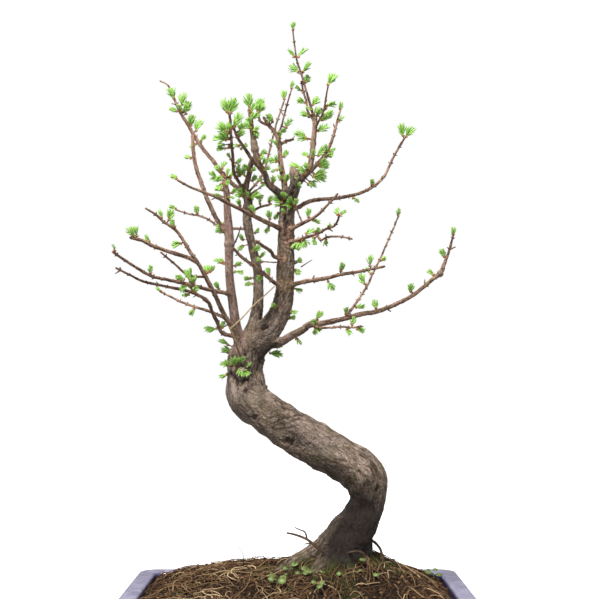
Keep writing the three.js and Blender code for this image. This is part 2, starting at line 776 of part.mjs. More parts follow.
// A limb of wood: a smooth line through its points, with its thickness along it
class Limb {
  constructor(points, widths, sides) {
    this.sides = sides;
    this.curve = new THREE.CatmullRomCurve3(points, false, 'centripetal');
    this.length = this.curve.getLength();
    const spans = points.map((point, i) => (i ? point.distanceTo(points[i - 1]) : 0));
    const whole = spans.reduce((sum, span) => sum + span);
    let run = 0;
    this.stations = spans.map((span) => (run += span) / whole);
    this.widths = widths.length === points.length
      ? widths
      : this.stations.map((t) => widths[0] + (widths[1] - widths[0]) * t);
  }

  radiusAt(t) {
    const next = Math.max(1, this.stations.findIndex((station) => station >= t - 1e-9));
    const span = this.stations[next] - this.stations[next - 1];
    const share = THREE.MathUtils.clamp((t - this.stations[next - 1]) / span, 0, 1);
    return (this.widths[next - 1] + (this.widths[next] - this.widths[next - 1]) * share) / 2;
  }

  sample(spacing) {
    const steps = Math.max(2, Math.round(this.length / spacing));
    const shares = Array.from({ length: steps + 1 }, (unused, i) => i / steps);
    return {
      points: shares.map((t) => this.curve.getPointAt(t)),
      radii: shares.map((t) => this.radiusAt(t)),
    };
  }

  nearest(point) {
    const tries = Math.ceil(this.length);
    let best = { distance: Infinity };
    for (let i = 0; i <= tries; i += 1) {
      const centre = this.curve.getPointAt(i / tries);
      const distance = centre.distanceTo(point);
      if (distance < best.distance) {
        best = { distance, centre, t: i / tries };
      }
    }
    return best;
  }
}

function sidesFor(width) {
  const found = FACETS.sides.find(([limit]) => width <= limit);
  return found ? found[1] : FACETS.mostSides;
}

function spacingFor(width) {
  return width > FACETS.thickWidth ? FACETS.thickSpacing : FACETS.thinSpacing;
}

function trunkRelief(t, angle) {
  const ropes = ROPES.map(({ height, turns, climb, shift }) => height * Math.sin(turns * angle + climb * t + shift));
  const scars = SCARS.height * Math.sin(SCARS.turns * angle + SCARS.climb * t) * Math.sin(SCARS.beats * t);
  return ropes.reduce((sum, rope) => sum + rope, 1 + scars);
}

// Clearance: every placed bar and needle is kept as a rod, and new ones are tested against them
const rods = [];
const WOOD = 'wood';

function addRod(start, end, radius, owner) {
  rods.push({ start, end, radius, owner });
}

function addRods(points, radii, owner) {
  for (let i = 1; i < points.length; i += 1) {
    addRod(points[i - 1], points[i], Math.max(radii[i - 1], radii[i]), owner);
  }
}

// Shortest distance between two straight segments
function segmentDistance(p, q, r, s) {
  const u = q.clone().sub(p);
  const v = s.clone().sub(r);
  const w = p.clone().sub(r);
  const a = u.dot(u);
  const b = u.dot(v);
  const c = v.dot(v);
  const d = u.dot(w);
  const e = v.dot(w);
  const slant = a * c - b * b;
  let along = slant > 1e-9 ? THREE.MathUtils.clamp((b * e - c * d) / slant, 0, 1) : 0;
  const across = c > 1e-9 ? THREE.MathUtils.clamp((b * along + e) / c, 0, 1) : 0;
  along = a > 1e-9 ? THREE.MathUtils.clamp((b * across - d) / a, 0, 1) : 0;
  return p.clone().addScaledVector(u, along).distanceTo(r.clone().addScaledVector(v, across));
}

function isClear(start, end, radius, owner, gap = GAP, ignored = null) {
  const reach = start.distanceTo(end);
  return rods.every((rod) => {
    if (rod.owner === owner || rod.owner === ignored) {
      return true;
    }
    const far = start.distanceTo(rod.start) - reach - rod.start.distanceTo(rod.end);
    if (far > radius + rod.radius + gap) {
      return true;
    }
    return segmentDistance(start, end, rod.start, rod.end) >= radius + rod.radius + gap;
  });
}

// Branch lines: each starts on its parent's centre line, at its parent's depth
const limbs = {};

function chordShares(route) {
  const spans = route.map(([x, y], i) => (i ? Math.hypot(x - route[i - 1][0], y - route[i - 1][1]) : 0));
  const whole = spans.reduce((sum, span) => sum + span);
  let run = 0;
  return spans.map((span) => (run += span) / whole);
}

function depthOnSheet(parent, across, down) {
  let best = { distance: Infinity };
  const tries = Math.ceil(parent.length);
  for (let i = 0; i <= tries; i += 1) {
    const centre = parent.curve.getPointAt(i / tries);
    const distance = centre.distanceTo(place(across, down, centre.y));
    if (distance < best.distance) {
      best = { distance, depth: centre.y, centre };
    }
  }
  return best;
}

function layBranches() {
  for (const [name, branch] of Object.entries(BRANCHES)) {
    const shares = chordShares(branch.route);
    const [firstAcross, firstDown] = branch.route[0];
    const root = branch.from ? depthOnSheet(limbs[branch.from], firstAcross, firstDown) : null;
    const startDepth = root ? root.depth : branch.startDepth;
    const points = branch.route.map(([across, down], i) => {
      const t = shares[i];
      return place(across, down, startDepth + (branch.depth - startDepth) * t + branch.bow * Math.sin(Math.PI * t));
    });
    if (root) {
      points[0] = root.centre;
    }
    limbs[name] = new Limb(points, branch.widths);
  }
}

// Rosettes: foot, axis and reach in space, and the place on the branch that each grows from
function layRosettes(random) {
  const rosettes = [];
  for (const [name, branch] of Object.entries(BRANCHES)) {
    const limb = limbs[name];
    for (const [footAcross, footDown, tipAcross, tipDown] of branch.tufts) {
      const root = depthOnSheet(limb, footAcross, footDown);
      const lean = (random() - 0.5) * ROSETTE.lean;
      const foot = place(footAcross, footDown, root.depth);
      const tip = place(tipAcross, tipDown, root.depth + lean);
      const axis = tip.clone().sub(foot).normalize();
      const reach = Math.max(tip.distanceTo(foot), ROSETTE.shortestReach);
      const at = limb.nearest(foot);
      rosettes.push({
        id: `rosette_${rosettes.length}`,
        name,
        limb,
        foot,
        axis,
        reach,
        coreLength: reach * ROSETTE.coreShare,
        needleLength: Math.min(reach * ROSETTE.needleShare, ROSETTE.longestNeedle),
        splays: ROSETTE.splays[ROSETTE.reaches.filter((limit) => reach > limit).length],
        t: at.t,
        centre: at.centre,
        twins: [],
      });
    }
  }
  return rosettes;
}

function groupRosettes(rosettes) {
  const groups = [];
  for (const name of Object.keys(BRANCHES)) {
    const onBranch = rosettes.filter((rosette) => rosette.name === name).sort((a, b) => a.t - b.t);
    let group = null;
    for (const rosette of onBranch) {
      const previous = group?.rosettes.at(-1);
      const thick = rosette.limb.radiusAt(rosette.t) * 2 > SPRAY.stemWidth;
      const link = thick ? SPRAY.linkOnStem : SPRAY.link;
      const near = previous && (rosette.t - previous.t) * rosette.limb.length <= link;
      if (!near || group.rosettes.length >= SPRAY.most) {
        group = { name, rosettes: [] };
        groups.push(group);
      }
      group.rosettes.push(rosette);
    }
  }
  return groups;
}

// A rosette: its stalk and core are one bent, pointed bar. The core's faces at the point, and every
// second one below it, become the feet of needles. The bar's faces run from its point inwards, one
// in the first row and two in each row after it, once for each of its sides
function rosetteGeometry(rosette, stalk, stalkRadius, random) {
  const { foot, axis, coreLength, splays } = rosette;
  const bands = splays.length;
  const corePoints = Array.from({ length: bands + 1 }, (unused, i) => (
    foot.clone().addScaledVector(axis, (coreLength * i) / bands)
  ));
  const coreRadii = corePoints.map((unused, i) => (
    ROSETTE.coreRadius + ((ROSETTE.coreTipRadius - ROSETTE.coreRadius) * i) / bands
  ));
  const points = [...stalk, ...corePoints];
  const radii = [...stalk.map(() => stalkRadius), ...coreRadii];
  const core = bar(points, radii, ROSETTE.coreSides, { pointed: true });
  core.deleteAttribute('normal');
  core.deleteAttribute('uv');
  const merged = mergeVertices(core, MERGE_GRID);
  const vertices = Array.from(merged.attributes.position.array);
  const corner = (index) => new THREE.Vector3().fromArray(vertices, index * 3);
  const facesPerSide = 2 * (points.length - 1) - 1;
  const faces = [];
  for (let face = 0; face < merged.index.count / 3; face += 1) {
    const ring = [0, 1, 2].map((i) => merged.index.getX(face * 3 + i));
    const corners = ring.map(corner);
    const middle = corners[0].clone().add(corners[1]).add(corners[2]).divideScalar(3);
    const place = face % facesPerSide;
    const inCore = face < ROSETTE.coreSides * facesPerSide && Math.ceil(place / 2) < bands;
    const drawn = inCore && (place === 0 || place % 2 === 1);
    const apex = drawn ? needleTip(middle, rosette, random) : null;
    if (apex) {
      const top = vertices.length / 3;
      vertices.push(apex.x, apex.y, apex.z);
      faces.push(ring[0], ring[1], top, ring[1], ring[2], top, ring[2], ring[0], top);
      addRod(middle, apex, ROSETTE.needleRadius, rosette.id);
    } else {
      faces.push(...ring);
    }
  }
  const geometry = new THREE.BufferGeometry();
  geometry.setAttribute('position', new THREE.Float32BufferAttribute(vertices, 3));
  geometry.setIndex(faces);
  return geometry;
}

// A needle's tip, bent or shortened until it is clear of everything else, or null where there is no room
function needleTip(middle, rosette, random) {
  const { foot, axis, coreLength, needleLength, splays } = rosette;
  const height = middle.clone().sub(foot).dot(axis);
  const onAxis = foot.clone().addScaledVector(axis, height);
  const radial = middle.clone().sub(onAxis).normalize();
  const band = Math.min(Math.floor((height / coreLength) * splays.length), splays.length - 1);
  const splay = splays[band] + (random() - 0.5) * ROSETTE.splayScatter;
  const [leastShare, scatter] = ROSETTE.lengthScatter;
  const ownLength = needleLength * (leastShare + scatter * random());
  for (const [bend, share] of ROSETTE.bends) {
    const angle = THREE.MathUtils.degToRad(THREE.MathUtils.clamp(splay + bend, ...ROSETTE.splayLimits));
    const heading = axis.clone().multiplyScalar(Math.cos(angle)).addScaledVector(radial, Math.sin(angle)).normalize();
    const apex = middle.clone().addScaledVector(heading, ownLength * share);
    if (isClear(middle, apex, ROSETTE.needleRadius, rosette.id, ROSETTE.needleGap)) {
      return apex;
    }
  }
  return null;
}

// Moves a rosette's foot outwards along its axis until its core is clear, and keeps room for it and
// for a spur, unless a neighbour crowds the spur out
function freeFoot(rosette) {
  for (let moved = 0; moved < ROSETTE.footFurthest; moved += ROSETTE.footStep) {
    const foot = rosette.foot.clone().addScaledVector(rosette.axis, moved);
    const end = foot.clone().addScaledVector(rosette.axis, rosette.coreLength);
    if (isClear(foot, end, ROSETTE.coreRadius, rosette.id)) {
      rosette.foot = foot;
      rosette.crowded = !isClear(rosette.centre, foot, SPRAY.spurRadius, rosette.id, GAP, WOOD);
      addRod(foot, end, ROSETTE.coreRadius, rosette.id);
      if (!rosette.crowded) {
        addRod(rosette.centre, foot, SPRAY.spurRadius, rosette.id);
      }
      return true;
    }
  }
  return false;
}

// Directions round a branch at a share of its length, as angles in its own frames
function directionAt(limb, t, angle) {
  const tangent = limb.curve.getTangentAt(t);
  const back = new THREE.Vector3(0, 1, 0);
  const away = back.addScaledVector(tangent, -back.dot(tangent));
  const normal = away.length() > 0.2 ? away.normalize() : new THREE.Vector3(1, 0, 0);
  const binormal = tangent.clone().cross(normal).normalize();
  return normal.multiplyScalar(Math.cos(angle)).addScaledVector(binormal, Math.sin(angle));
}

function angleOf(limb, t, vector) {
  const zero = directionAt(limb, t, 0);
  const quarter = directionAt(limb, t, Math.PI / 2);
  return Math.atan2(vector.dot(quarter), vector.dot(zero));
}

// The shoot of a spray along one side of its branch, and a stalk from it round to each rosette
function shootAlong(rosettes, side) {
  const { limb } = rosettes[0];
  const first = rosettes[0].t;
  const last = rosettes.at(-1).t;
  const pointAt = (t, angle, radius) => {
    const offset = (limb.radiusAt(t) + GAP * SPRAY.liftShare + radius) / Math.cos(SPRAY.stalkTurn / 2);
    return limb.curve.getPointAt(t).addScaledVector(directionAt(limb, t, angle), offset);
  };
  const steps = Math.max(1, Math.round(((last - first) * limb.length) / SPRAY.spacing));
  const shoot = Array.from({ length: steps + 1 }, (unused, i) => (
    pointAt(first + ((last - first) * i) / steps, side, SPRAY.shootRadius)
  ));
  const stalks = rosettes.map((rosette) => {
    const end = angleOf(limb, rosette.t, rosette.foot.clone().sub(rosette.centre));
    const turn = Math.atan2(Math.sin(end - side), Math.cos(end - side));
    const turns = Math.max(1, Math.ceil(Math.abs(turn) / SPRAY.stalkTurn));
    const round = Array.from({ length: turns + 1 }, (unused, i) => (
      pointAt(rosette.t, side + (turn * i) / turns, SPRAY.stalkRadius)
    ));
    return round.filter((point, i) => i === 0 || (
      point.distanceTo(round[i - 1]) > SPRAY.closestBends && point.distanceTo(rosette.foot) > SPRAY.closestToFoot
    ));
  });
  return { shoot, stalks, run: (last - first) * limb.length };
}

function lineIsClear(points, radius, owner) {
  return points.every((point, i) => i === 0 || isClear(points[i - 1], point, radius, owner, SPRAY.lineGap));
}

function lineLength(points) {
  return points.reduce((sum, point, i) => sum + (i ? point.distanceTo(points[i - 1]) : 0), 0);
}

// The shortest clear way to join rosettes, out of several sides of the branch
function chooseShoot(rosettes) {
  const found = [];
  for (let i = 0; i < SPRAY.sides; i += 1) {
    const way = shootAlong(rosettes, (i * 2 * Math.PI) / SPRAY.sides);
    const lines = way.stalks.map((stalk, k) => [...stalk, rosettes[k].foot]);
    const open = lineIsClear(way.shoot, SPRAY.shootRadius, 'shoot')
      && lines.every((line, k) => lineIsClear(line, SPRAY.stalkRadius, rosettes[k].id));
    if (open) {
      const cost = lines.reduce((sum, line) => sum + lineLength(line) + SPRAY.costPerPoint * line.length, 0);
      found.push({ ...way, cost });
    }
  }
  return found.sort((a, b) => a.cost - b.cost)[0] ?? null;
}

// A crowded rosette grows out of the core of the nearest one beside it, as two from one bud do
function findHost(sprays, rosette) {
  const hosts = sprays.flatMap((spray) => spray.rosettes);
  const open = hosts
    .map((host) => ({ host, start: host.foot.clone().addScaledVector(host.axis, host.coreLength / 2) }))
    .filter(({ host, start }) => (
      start.distanceTo(rosette.foot) < SPRAY.twinReach
      && isClear(start, rosette.foot, SPRAY.stalkRadius, rosette.id, GAP, host.id)
    ))
    .sort((a, b) => a.start.distanceTo(rosette.foot) - b.start.distanceTo(rosette.foot));
  if (open.length === 0) {
    return null;
  }
  const { host, start } = open[0];
  rosette.stalk = [start];
  addRod(start, rosette.foot, SPRAY.stalkRadius, rosette.id);
  return host;
}

// Splits a run of rosettes into sprays: as many of them as a clear shoot can join, and so on
function settleGroup(group) {
  const sprays = [];
  let rest = group.rosettes.filter(freeFoot);
  while (rest.length > 0) {
    let count = rest.length;
    let way = null;
    while (count > 1 && !way) {
      way = chooseShoot(rest.slice(0, count));
      count -= way ? 0 : 1;
    }
    const rosettes = rest.slice(0, count);
    rest = rest.slice(count);
    const host = rosettes[0].crowded && !way ? findHost(sprays, rosettes[0]) : null;
    if (host) {
      host.twins.push(rosettes[0]);
      continue;
    }
    if (way) {
      addRods(way.shoot, way.shoot.map(() => SPRAY.shootRadius), 'shoot');
      way.stalks.forEach((stalk, k) => addRods(stalk, stalk.map(() => SPRAY.stalkRadius), rosettes[k].id));
    }
    sprays.push({ name: group.name, rosettes, way });
  }
  return sprays;
}

// Marks the smallest lone rosettes as fused to the wood until the sprays fit the limit on nodes
function settleSprays(runs) {
  const sprays = runs.flatMap(settleGroup);
  const lone = sprays.filter((spray) => !spray.way).sort((a, b) => a.rosettes[0].reach - b.rosettes[0].reach);
  for (const spray of lone.slice(0, Math.max(0, sprays.length - SPRAY.limit))) {
    spray.onWood = true;
  }
  return sprays;
}

// A rosette with those that grow out of its core
function withTwins(rosette, stalk, stalkRadius, random) {
  const own = toSolid(rosetteGeometry(rosette, stalk, stalkRadius, random));
  const twins = rosette.twins.map((twin) => (
    toSolid(rosetteGeometry(twin, twin.stalk, SPRAY.stalkRadius, random))
  ));
  return largestBody(join([own, ...twins]));
}

// One spray node: the rosettes of a group, joined by their shoot and stalks
function buildSpray({ rosettes, way }, random) {
  if (!way) {
    return withTwins(rosettes[0], [], 0, random);
  }
  const solids = rosettes.map((rosette, i) => withTwins(rosette, way.stalks[i], SPRAY.stalkRadius, random));
  if (way.run > 0) {
    solids.push(toSolid(bar(way.shoot, way.shoot.map(() => SPRAY.shootRadius), ROSETTE.coreSides)));
  }
  return largestBody(join(solids));
}

// Wood: trunk, branches, buttresses and bare roots. A lone rosette is fused to it, or stands a
// hair's breadth off a short woody spur, as the shoot of a spray does
function spur(points) {
  return toSolid(bar(points, points.map(() => SPRAY.spurRadius), ROSETTE.coreSides));
}

function seatSolid({ rosettes: [rosette], onWood, way }, random) {
  if (onWood) {
    return withTwins(rosette, [rosette.centre.clone()], SPRAY.spurRadius, random);
  }
  if (way) {
    const onShoot = way.shoot[0].clone().lerp(way.shoot[1], 0.5);
    const { centre } = rosette.limb.nearest(onShoot);
    const below = onShoot.clone().sub(centre).setLength(SPRAY.shootRadius + GAP);
    return spur([centre, onShoot.clone().sub(below)]);
  }
  if (rosette.crowded) {
    return null;
  }
  const end = rosette.foot.clone().addScaledVector(rosette.axis, -GAP);
  const bend = rosette.foot.clone().addScaledVector(rosette.axis, -GAP - SPRAY.spurBend);
  return spur([rosette.centre.clone(), bend, end]);
}

function buttressPoints(bearing, reach) {
  const angle = THREE.MathUtils.degToRad(bearing);
  const foot = limbs.trunk.nearest(place(...BUTTRESS.sheetFoot, 0)).centre;
  return BUTTRESS.profile.map(([share, height]) => new THREE.Vector3(
    foot.x + BUTTRESS.inset * (1 - share) + Math.cos(angle) * reach * share,
    foot.y + Math.sin(angle) * reach * share,
    height,
  ));
}

function rootLimbs() {
  const buttresses = BUTTRESSES.map(([bearing, reach, width]) => (
    new Limb(buttressPoints(bearing, reach), BUTTRESS.taper.map((share) => width * share), BUTTRESS.sides)
  ));
  const bare = BARE_ROOTS.map(({ route, widths }) => (
    new Limb(route.map(([across, down, depth]) => place(across, down, depth)), widths)
  ));
  return [...buttresses, ...bare];
}

function limbGeometry(limb, grow = 0, relief = undefined) {
  const widest = Math.max(...limb.widths);
  const { points, radii } = limb.sample(spacingFor(widest));
  return bar(points, radii.map((radius) => radius + grow), limb.sides ?? sidesFor(widest), { relief });
}

function buildWood(roots, sprays, random) {
  const branches = Object.entries(limbs).map(([name, limb]) => (
    toSolid(limbGeometry(limb, 0, name === 'trunk' ? trunkRelief : undefined))
  ));
  const seats = sprays.map((spray) => seatSolid(spray, random));
  const under = roots.map((root) => toSolid(limbGeometry(root)));
  return largestBody(join([...branches, ...under, ...seats.filter((solid) => solid)]));
}

// Pot
function mokkoShape(inset) {
  const halfLength = POT.length / 2 - inset;
  const halfWidth = POT.width / 2 - inset;
  const radius = Math.max(POT.cornerRadius - inset / 2, POT.leastRadius);
  const shape = new THREE.Shape();
  const corners = [];
  for (const [sx, sy] of [[1, 1], [-1, 1], [-1, -1], [1, -1]]) {
    const outerLength = [sx * halfLength, sy * (halfWidth - POT.notchAlongWidth)];
    const inner = [sx * (halfLength - POT.notchAlongLength), sy * (halfWidth - POT.notchAlongWidth)];
    const outerWidth = [sx * (halfLength - POT.notchAlongLength), sy * halfWidth];
    const trio = [[outerLength, radius], [inner, POT.notchRadius], [outerWidth, radius]];
    corners.push(...(sx * sy > 0 ? trio : trio.reverse()));
  }
  corners.forEach(([[x, y], round], i) => {
    const [previous] = corners.at(i - 1);
    const [next] = corners[(i + 1) % corners.length];
    const from = new THREE.Vector2(previous[0] - x, previous[1] - y).setLength(round);
    const to = new THREE.Vector2(next[0] - x, next[1] - y).setLength(round);
    if (i === 0) {
      shape.moveTo(x + from.x, y + from.y);
    } else {
      shape.lineTo(x + from.x, y + from.y);
    }
    shape.quadraticCurveTo(x, y, x + to.x, y + to.y);
  });
  shape.closePath();
  return shape;
}

function prism(shape, bottom, top) {
  const geometry = new THREE.ExtrudeGeometry(shape, {
    depth: top - bottom, bevelEnabled: false, curveSegments: POT.curveSteps,
  });
  return geometry.translate(0, 0, bottom);
}

function buildPot() {
  const bodyTop = POT.height - POT.lipHeight + POT.join / 2;
  const body = prism(mokkoShape(POT.lipOverhang), POT.footHeight, bodyTop);
  const position = body.attributes.position;
  for (let i = 0; i < position.count; i += 1) {
    const rise = (position.getZ(i) - POT.footHeight) / (bodyTop - POT.footHeight);
    const scale = 1 - POT.lean * (1 - rise);
    position.setX(i, position.getX(i) * scale);
    position.setY(i, position.getY(i) * scale);
  }
  const lip = new THREE.ExtrudeGeometry(mokkoShape(0), {
    depth: POT.lipHeight - 2 * POT.lipRound,
    bevelEnabled: true,
    bevelThickness: POT.lipRound,
    bevelSize: POT.lipRound,
    bevelOffset: -POT.lipRound,
    bevelSegments: 1,
    curveSegments: POT.curveSteps,
  }).translate(0, 0, POT.height - POT.lipHeight + POT.lipRound);
  let pot = toSolid(body).add(toSolid(lip));
  for (const sx of [-1, 1]) {
    for (const sy of [-1, 1]) {
      const foot = new THREE.BoxGeometry(POT.footLength, POT.footWidth, POT.footHeight + POT.join);
      foot.translate(
        sx * (POT.length / 2 - POT.notchAlongLength - POT.footInset - POT.footLength / 2),
        sy * (POT.width / 2 - POT.notchAlongWidth - POT.footInset - POT.footWidth / 2),
        (POT.footHeight + POT.join) / 2,
      );
      pot = pot.add(toSolid(foot));
    }
  }
  pot = pot.subtract(toSolid(prism(mokkoShape(POT.lipWidth), POT.floorTop, POT.height + POT.join)));
  for (const side of [-1, 1]) {
    const radius = DRAIN.holeDiameter / 2;
    const hole = new THREE.CylinderGeometry(radius, radius, POT.height, POT.drillSides);
    pot = pot.subtract(toSolid(hole.rotateX(Math.PI / 2).translate((side * DRAIN.spacing) / 2, 0, 0)));
  }
  return pot;
}

// Drain screens: a thin square plate with square meshes
function buildScreen(side) {
  const middle = (side * DRAIN.spacing) / 2;
  const bottom = POT.floorTop + GAP;
  const plate = new THREE.BoxGeometry(DRAIN.screenSide, DRAIN.screenSide, DRAIN.screenThickness);
  let screen = toSolid(plate.translate(middle, 0, bottom + DRAIN.screenThickness / 2));
  const pitch = DRAIN.screenSide / (DRAIN.meshes + DRAIN.rimShare);
  for (let row = 0; row < DRAIN.meshes; row += 1) {
    for (let column = 0; column < DRAIN.meshes; column += 1) {
      const hole = new THREE.BoxGeometry(DRAIN.meshHole, DRAIN.meshHole, DRAIN.screenThickness * 2);
      hole.translate(
        middle + (column - (DRAIN.meshes - 1) / 2) * pitch,
        (row - (DRAIN.meshes - 1) / 2) * pitch,
        bottom + DRAIN.screenThickness / 2,
      );
      screen = screen.subtract(toSolid(hole));
    }
  }
  return screen;
}

// Seedlings: a short stem with round lobed leaves on stalks
function leafShape(size) {
  const shape = new THREE.Shape();
  const stalk = size * LEAF.stalkShare;
  shape.moveTo(0, -LEAF.stalkHalfWidth);
  for (let i = 0; i <= LEAF.points; i += 1) {
    const angle = Math.PI * LEAF.openShare * ((2 * i) / LEAF.points - 1);
    const lobe = 1 + LEAF.lobeDepth * Math.cos(LEAF.lobes * angle);
    shape.lineTo(stalk + (size / 2) * (1 + lobe * Math.cos(angle)), (size / 2) * lobe * Math.sin(angle));
  }
  shape.lineTo(0, LEAF.stalkHalfWidth);
  shape.closePath();
  return shape;
}

function buildSeedling(seedling, owner, random) {
  const foot = onSoil(...seedling.foot);
  foot.z = soilTop(foot.x, foot.y);
  const start = foot.clone().setZ(foot.z - STEM.sunk);
  const top = foot.clone().setZ(foot.z + seedling.height);
  const solids = [toSolid(bar([start, top], [STEM.radius, STEM.topRadius], STEM.sides))];
  addRods([start, top], [STEM.radius, STEM.radius], owner);
  const firstTurn = random() * Math.PI * 2;
  for (let i = 0; i < seedling.leaves; i += 1) {
    const size = seedling.leafSize * (LEAF.sizeScatter[0] + LEAF.sizeScatter[1] * random());
    const leaf = new THREE.ExtrudeGeometry(leafShape(size), { depth: LEAF.thickness, bevelEnabled: false });
    leaf.translate(0, 0, -LEAF.thickness / 2);
    leaf.rotateY(LEAF.tilt[0] + LEAF.tilt[1] * random());
    leaf.rotateZ(firstTurn + (i * 2 * Math.PI) / seedling.leaves);
    leaf.translate(top.x, top.y, top.z - LEAF.drop - LEAF.dropStep * i);
    solids.push(toSolid(leaf));
  }
  addRod(top.clone().setZ(top.z - STEM.roomDepth), top, seedling.leafSize * STEM.leafRoom, owner);
  return { solid: largestBody(join(solids)), foot, start };
}

// Soil: a lumpy block inside the pot, cut free of roots, stems and screens, with fibres on top
function layFibre(random, halfLength, halfWidth) {
  const length = FIBRES.length[0] + (FIBRES.length[1] - FIBRES.length[0]) * random();
  const bearing = random() * Math.PI * 2;
  const turn = (random() - 0.5) * FIBRES.turn;
  const points = [];
  let x = (random() * 2 - 1) * halfLength;
  let y = (random() * 2 - 1) * halfWidth;
  for (let i = 0; i <= FIBRES.steps; i += 1) {
    const lift = i === 0 || i === FIBRES.steps ? -1 : 1;
    points.push(new THREE.Vector3(x, y, soilTop(x, y) + lift * FIBRES.arch));
    x += (Math.cos(bearing + (turn * i) / FIBRES.steps) * length) / FIBRES.steps;
    y += (Math.sin(bearing + (turn * i) / FIBRES.steps) * length) / FIBRES.steps;
  }
  return points;
}

function fibreBars(random) {
  const halfLength = POT.length / 2 - POT.lipWidth - FIBRES.margin;
  const halfWidth = POT.width / 2 - POT.lipWidth - POT.notchAlongWidth - FIBRES.margin;
  const bars = [];
  for (let tries = 0; bars.length < FIBRES.count && tries < FIBRES.tries; tries += 1) {
    const points = layFibre(random, halfLength, halfWidth);
    const inside = points.every((point) => Math.abs(point.x) < halfLength && Math.abs(point.y) < halfWidth);
    const open = points.every((point, i) => i === 0 || isClear(points[i - 1], point, FIBRES.radius, 'soil'));
    if (inside && open) {
      bars.push(bar(points, points.map(() => FIBRES.radius), FIBRES.sides));
    }
  }
  return bars;
}

function buildSoil(roots, seedlings, random) {
  const block = new THREE.BoxGeometry(POT.length, POT.width, 1, SOIL.cellsAlongX, SOIL.cellsAlongY, 1);
  const position = block.attributes.position;
  for (let i = 0; i < position.count; i += 1) {
    const top = soilTop(position.getX(i), position.getY(i));
    position.setZ(i, position.getZ(i) > 0 ? top : 0);
  }
  const filling = prism(mokkoShape(POT.lipWidth + GAP), POT.floorTop + GAP, POT.height * 2);
  let soil = toSolid(block).intersect(toSolid(filling));
  for (const fibre of fibreBars(random)) {
    soil = soil.add(toSolid(fibre));
  }
  for (const root of [limbs.trunk, ...roots]) {
    const relief = root === limbs.trunk ? trunkRelief : undefined;
    soil = soil.subtract(toSolid(limbGeometry(root, GAP, relief)));
  }
  for (const { foot, start } of seedlings) {
    const hole = [start.clone().setZ(start.z - GAP), foot.clone().setZ(foot.z + STEM.holeTop)];
    const radius = STEM.radius + GAP;
    soil = soil.subtract(toSolid(bar(hole, [radius, radius], STEM.holeSides)));
  }
  for (const side of [-1, 1]) {
    const plate = DRAIN.screenSide + 2 * GAP;
    const room = new THREE.BoxGeometry(plate, plate, 2 * (DRAIN.screenThickness + 2 * GAP));
    soil = soil.subtract(toSolid(room.translate((side * DRAIN.spacing) / 2, 0, POT.floorTop)));
  }
  return largestBody(soil);
}

// Assembly
const bonsai = new THREE.Group();

function addMesh(name, solid, finish) {
  const material = new THREE.MeshStandardMaterial(finish);
  const mesh = new THREE.Mesh(toGeometry(solid), material);
  mesh.name = name;
  bonsai.add(mesh);
}

const random = makeRandom(SEED);
layBranches();
const roots = rootLimbs();
for (const limb of [...Object.values(limbs), ...roots]) {
  const { points, radii } = limb.sample(spacingFor(Math.max(...limb.widths)));
  addRods(points, radii.map((radius) => radius * (limb === limbs.trunk ? TRUNK_ROOM : LIMB_ROOM)), WOOD);
}

const sprays = settleSprays(groupRosettes(layRosettes(random)));
const wood = buildWood(roots, sprays, random);
const sprayCount = {};

addMesh('pot', buildPot(), FINISHES.glaze);
addMesh('drain_screen_left', buildScreen(-1), FINISHES.mesh);
addMesh('drain_screen_right', buildScreen(1), FINISHES.mesh);
addMesh('trunk_and_branches', wood, FINISHES.bark);
for (const spray of sprays.filter((item) => !item.onWood)) {
  const count = (sprayCount[spray.name] ?? 0) + 1;
  sprayCount[spray.name] = count;
  addMesh(`needles_${spray.name}_${count}`, buildSpray(spray, random), FINISHES.needles);
}
const seedlings = SEEDLINGS.map((seedling, i) => buildSeedling(seedling, `seedling_${i + 1}`, random));
seedlings.forEach(({ solid }, i) => addMesh(`seedling_${i + 1}`, solid, FINISHES.seedling));
addMesh('soil', buildSoil(roots, seedlings, random), FINISHES.soil);

export default bonsai;
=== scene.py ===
"""Dawn redwood bonsai in a glazed pot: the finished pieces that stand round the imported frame.

Inside the classes every length is in millimetres. A mesh is brought to metres when it is finished.
"""

import json
import logging
import math
from collections.abc import Callable, Iterable, Iterator, Sequence
from dataclasses import dataclass, field
from enum import Enum
from random import Random

import bmesh
import bpy
import numpy as np
from bmesh.types import BMEdge, BMesh, BMVert
from mathutils import Matrix, Vector, noise
from mathutils.kdtree import KDTree

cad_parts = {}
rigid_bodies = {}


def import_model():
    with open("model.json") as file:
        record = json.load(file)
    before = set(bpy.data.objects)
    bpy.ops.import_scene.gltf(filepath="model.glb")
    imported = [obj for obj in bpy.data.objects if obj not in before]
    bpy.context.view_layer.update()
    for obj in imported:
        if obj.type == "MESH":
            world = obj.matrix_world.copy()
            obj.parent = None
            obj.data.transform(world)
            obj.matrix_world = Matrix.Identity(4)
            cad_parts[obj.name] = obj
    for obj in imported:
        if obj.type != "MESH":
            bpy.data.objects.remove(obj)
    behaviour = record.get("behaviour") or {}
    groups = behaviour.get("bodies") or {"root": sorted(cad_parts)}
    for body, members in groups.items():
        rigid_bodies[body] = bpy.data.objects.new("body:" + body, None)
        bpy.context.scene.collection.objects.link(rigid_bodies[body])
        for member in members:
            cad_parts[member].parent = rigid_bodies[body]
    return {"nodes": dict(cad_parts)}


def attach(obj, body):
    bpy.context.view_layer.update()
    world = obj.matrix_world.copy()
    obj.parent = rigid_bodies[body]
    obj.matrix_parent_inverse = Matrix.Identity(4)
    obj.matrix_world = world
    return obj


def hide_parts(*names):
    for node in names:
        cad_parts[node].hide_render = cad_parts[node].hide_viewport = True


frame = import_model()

Array = np.ndarray
Colour = tuple[int, int, int]
Mesh = bpy.types.Mesh
Material = bpy.types.Material
Pair = tuple[float, float]
Socket = bpy.types.NodeSocket
Triple = tuple[float, float, float]

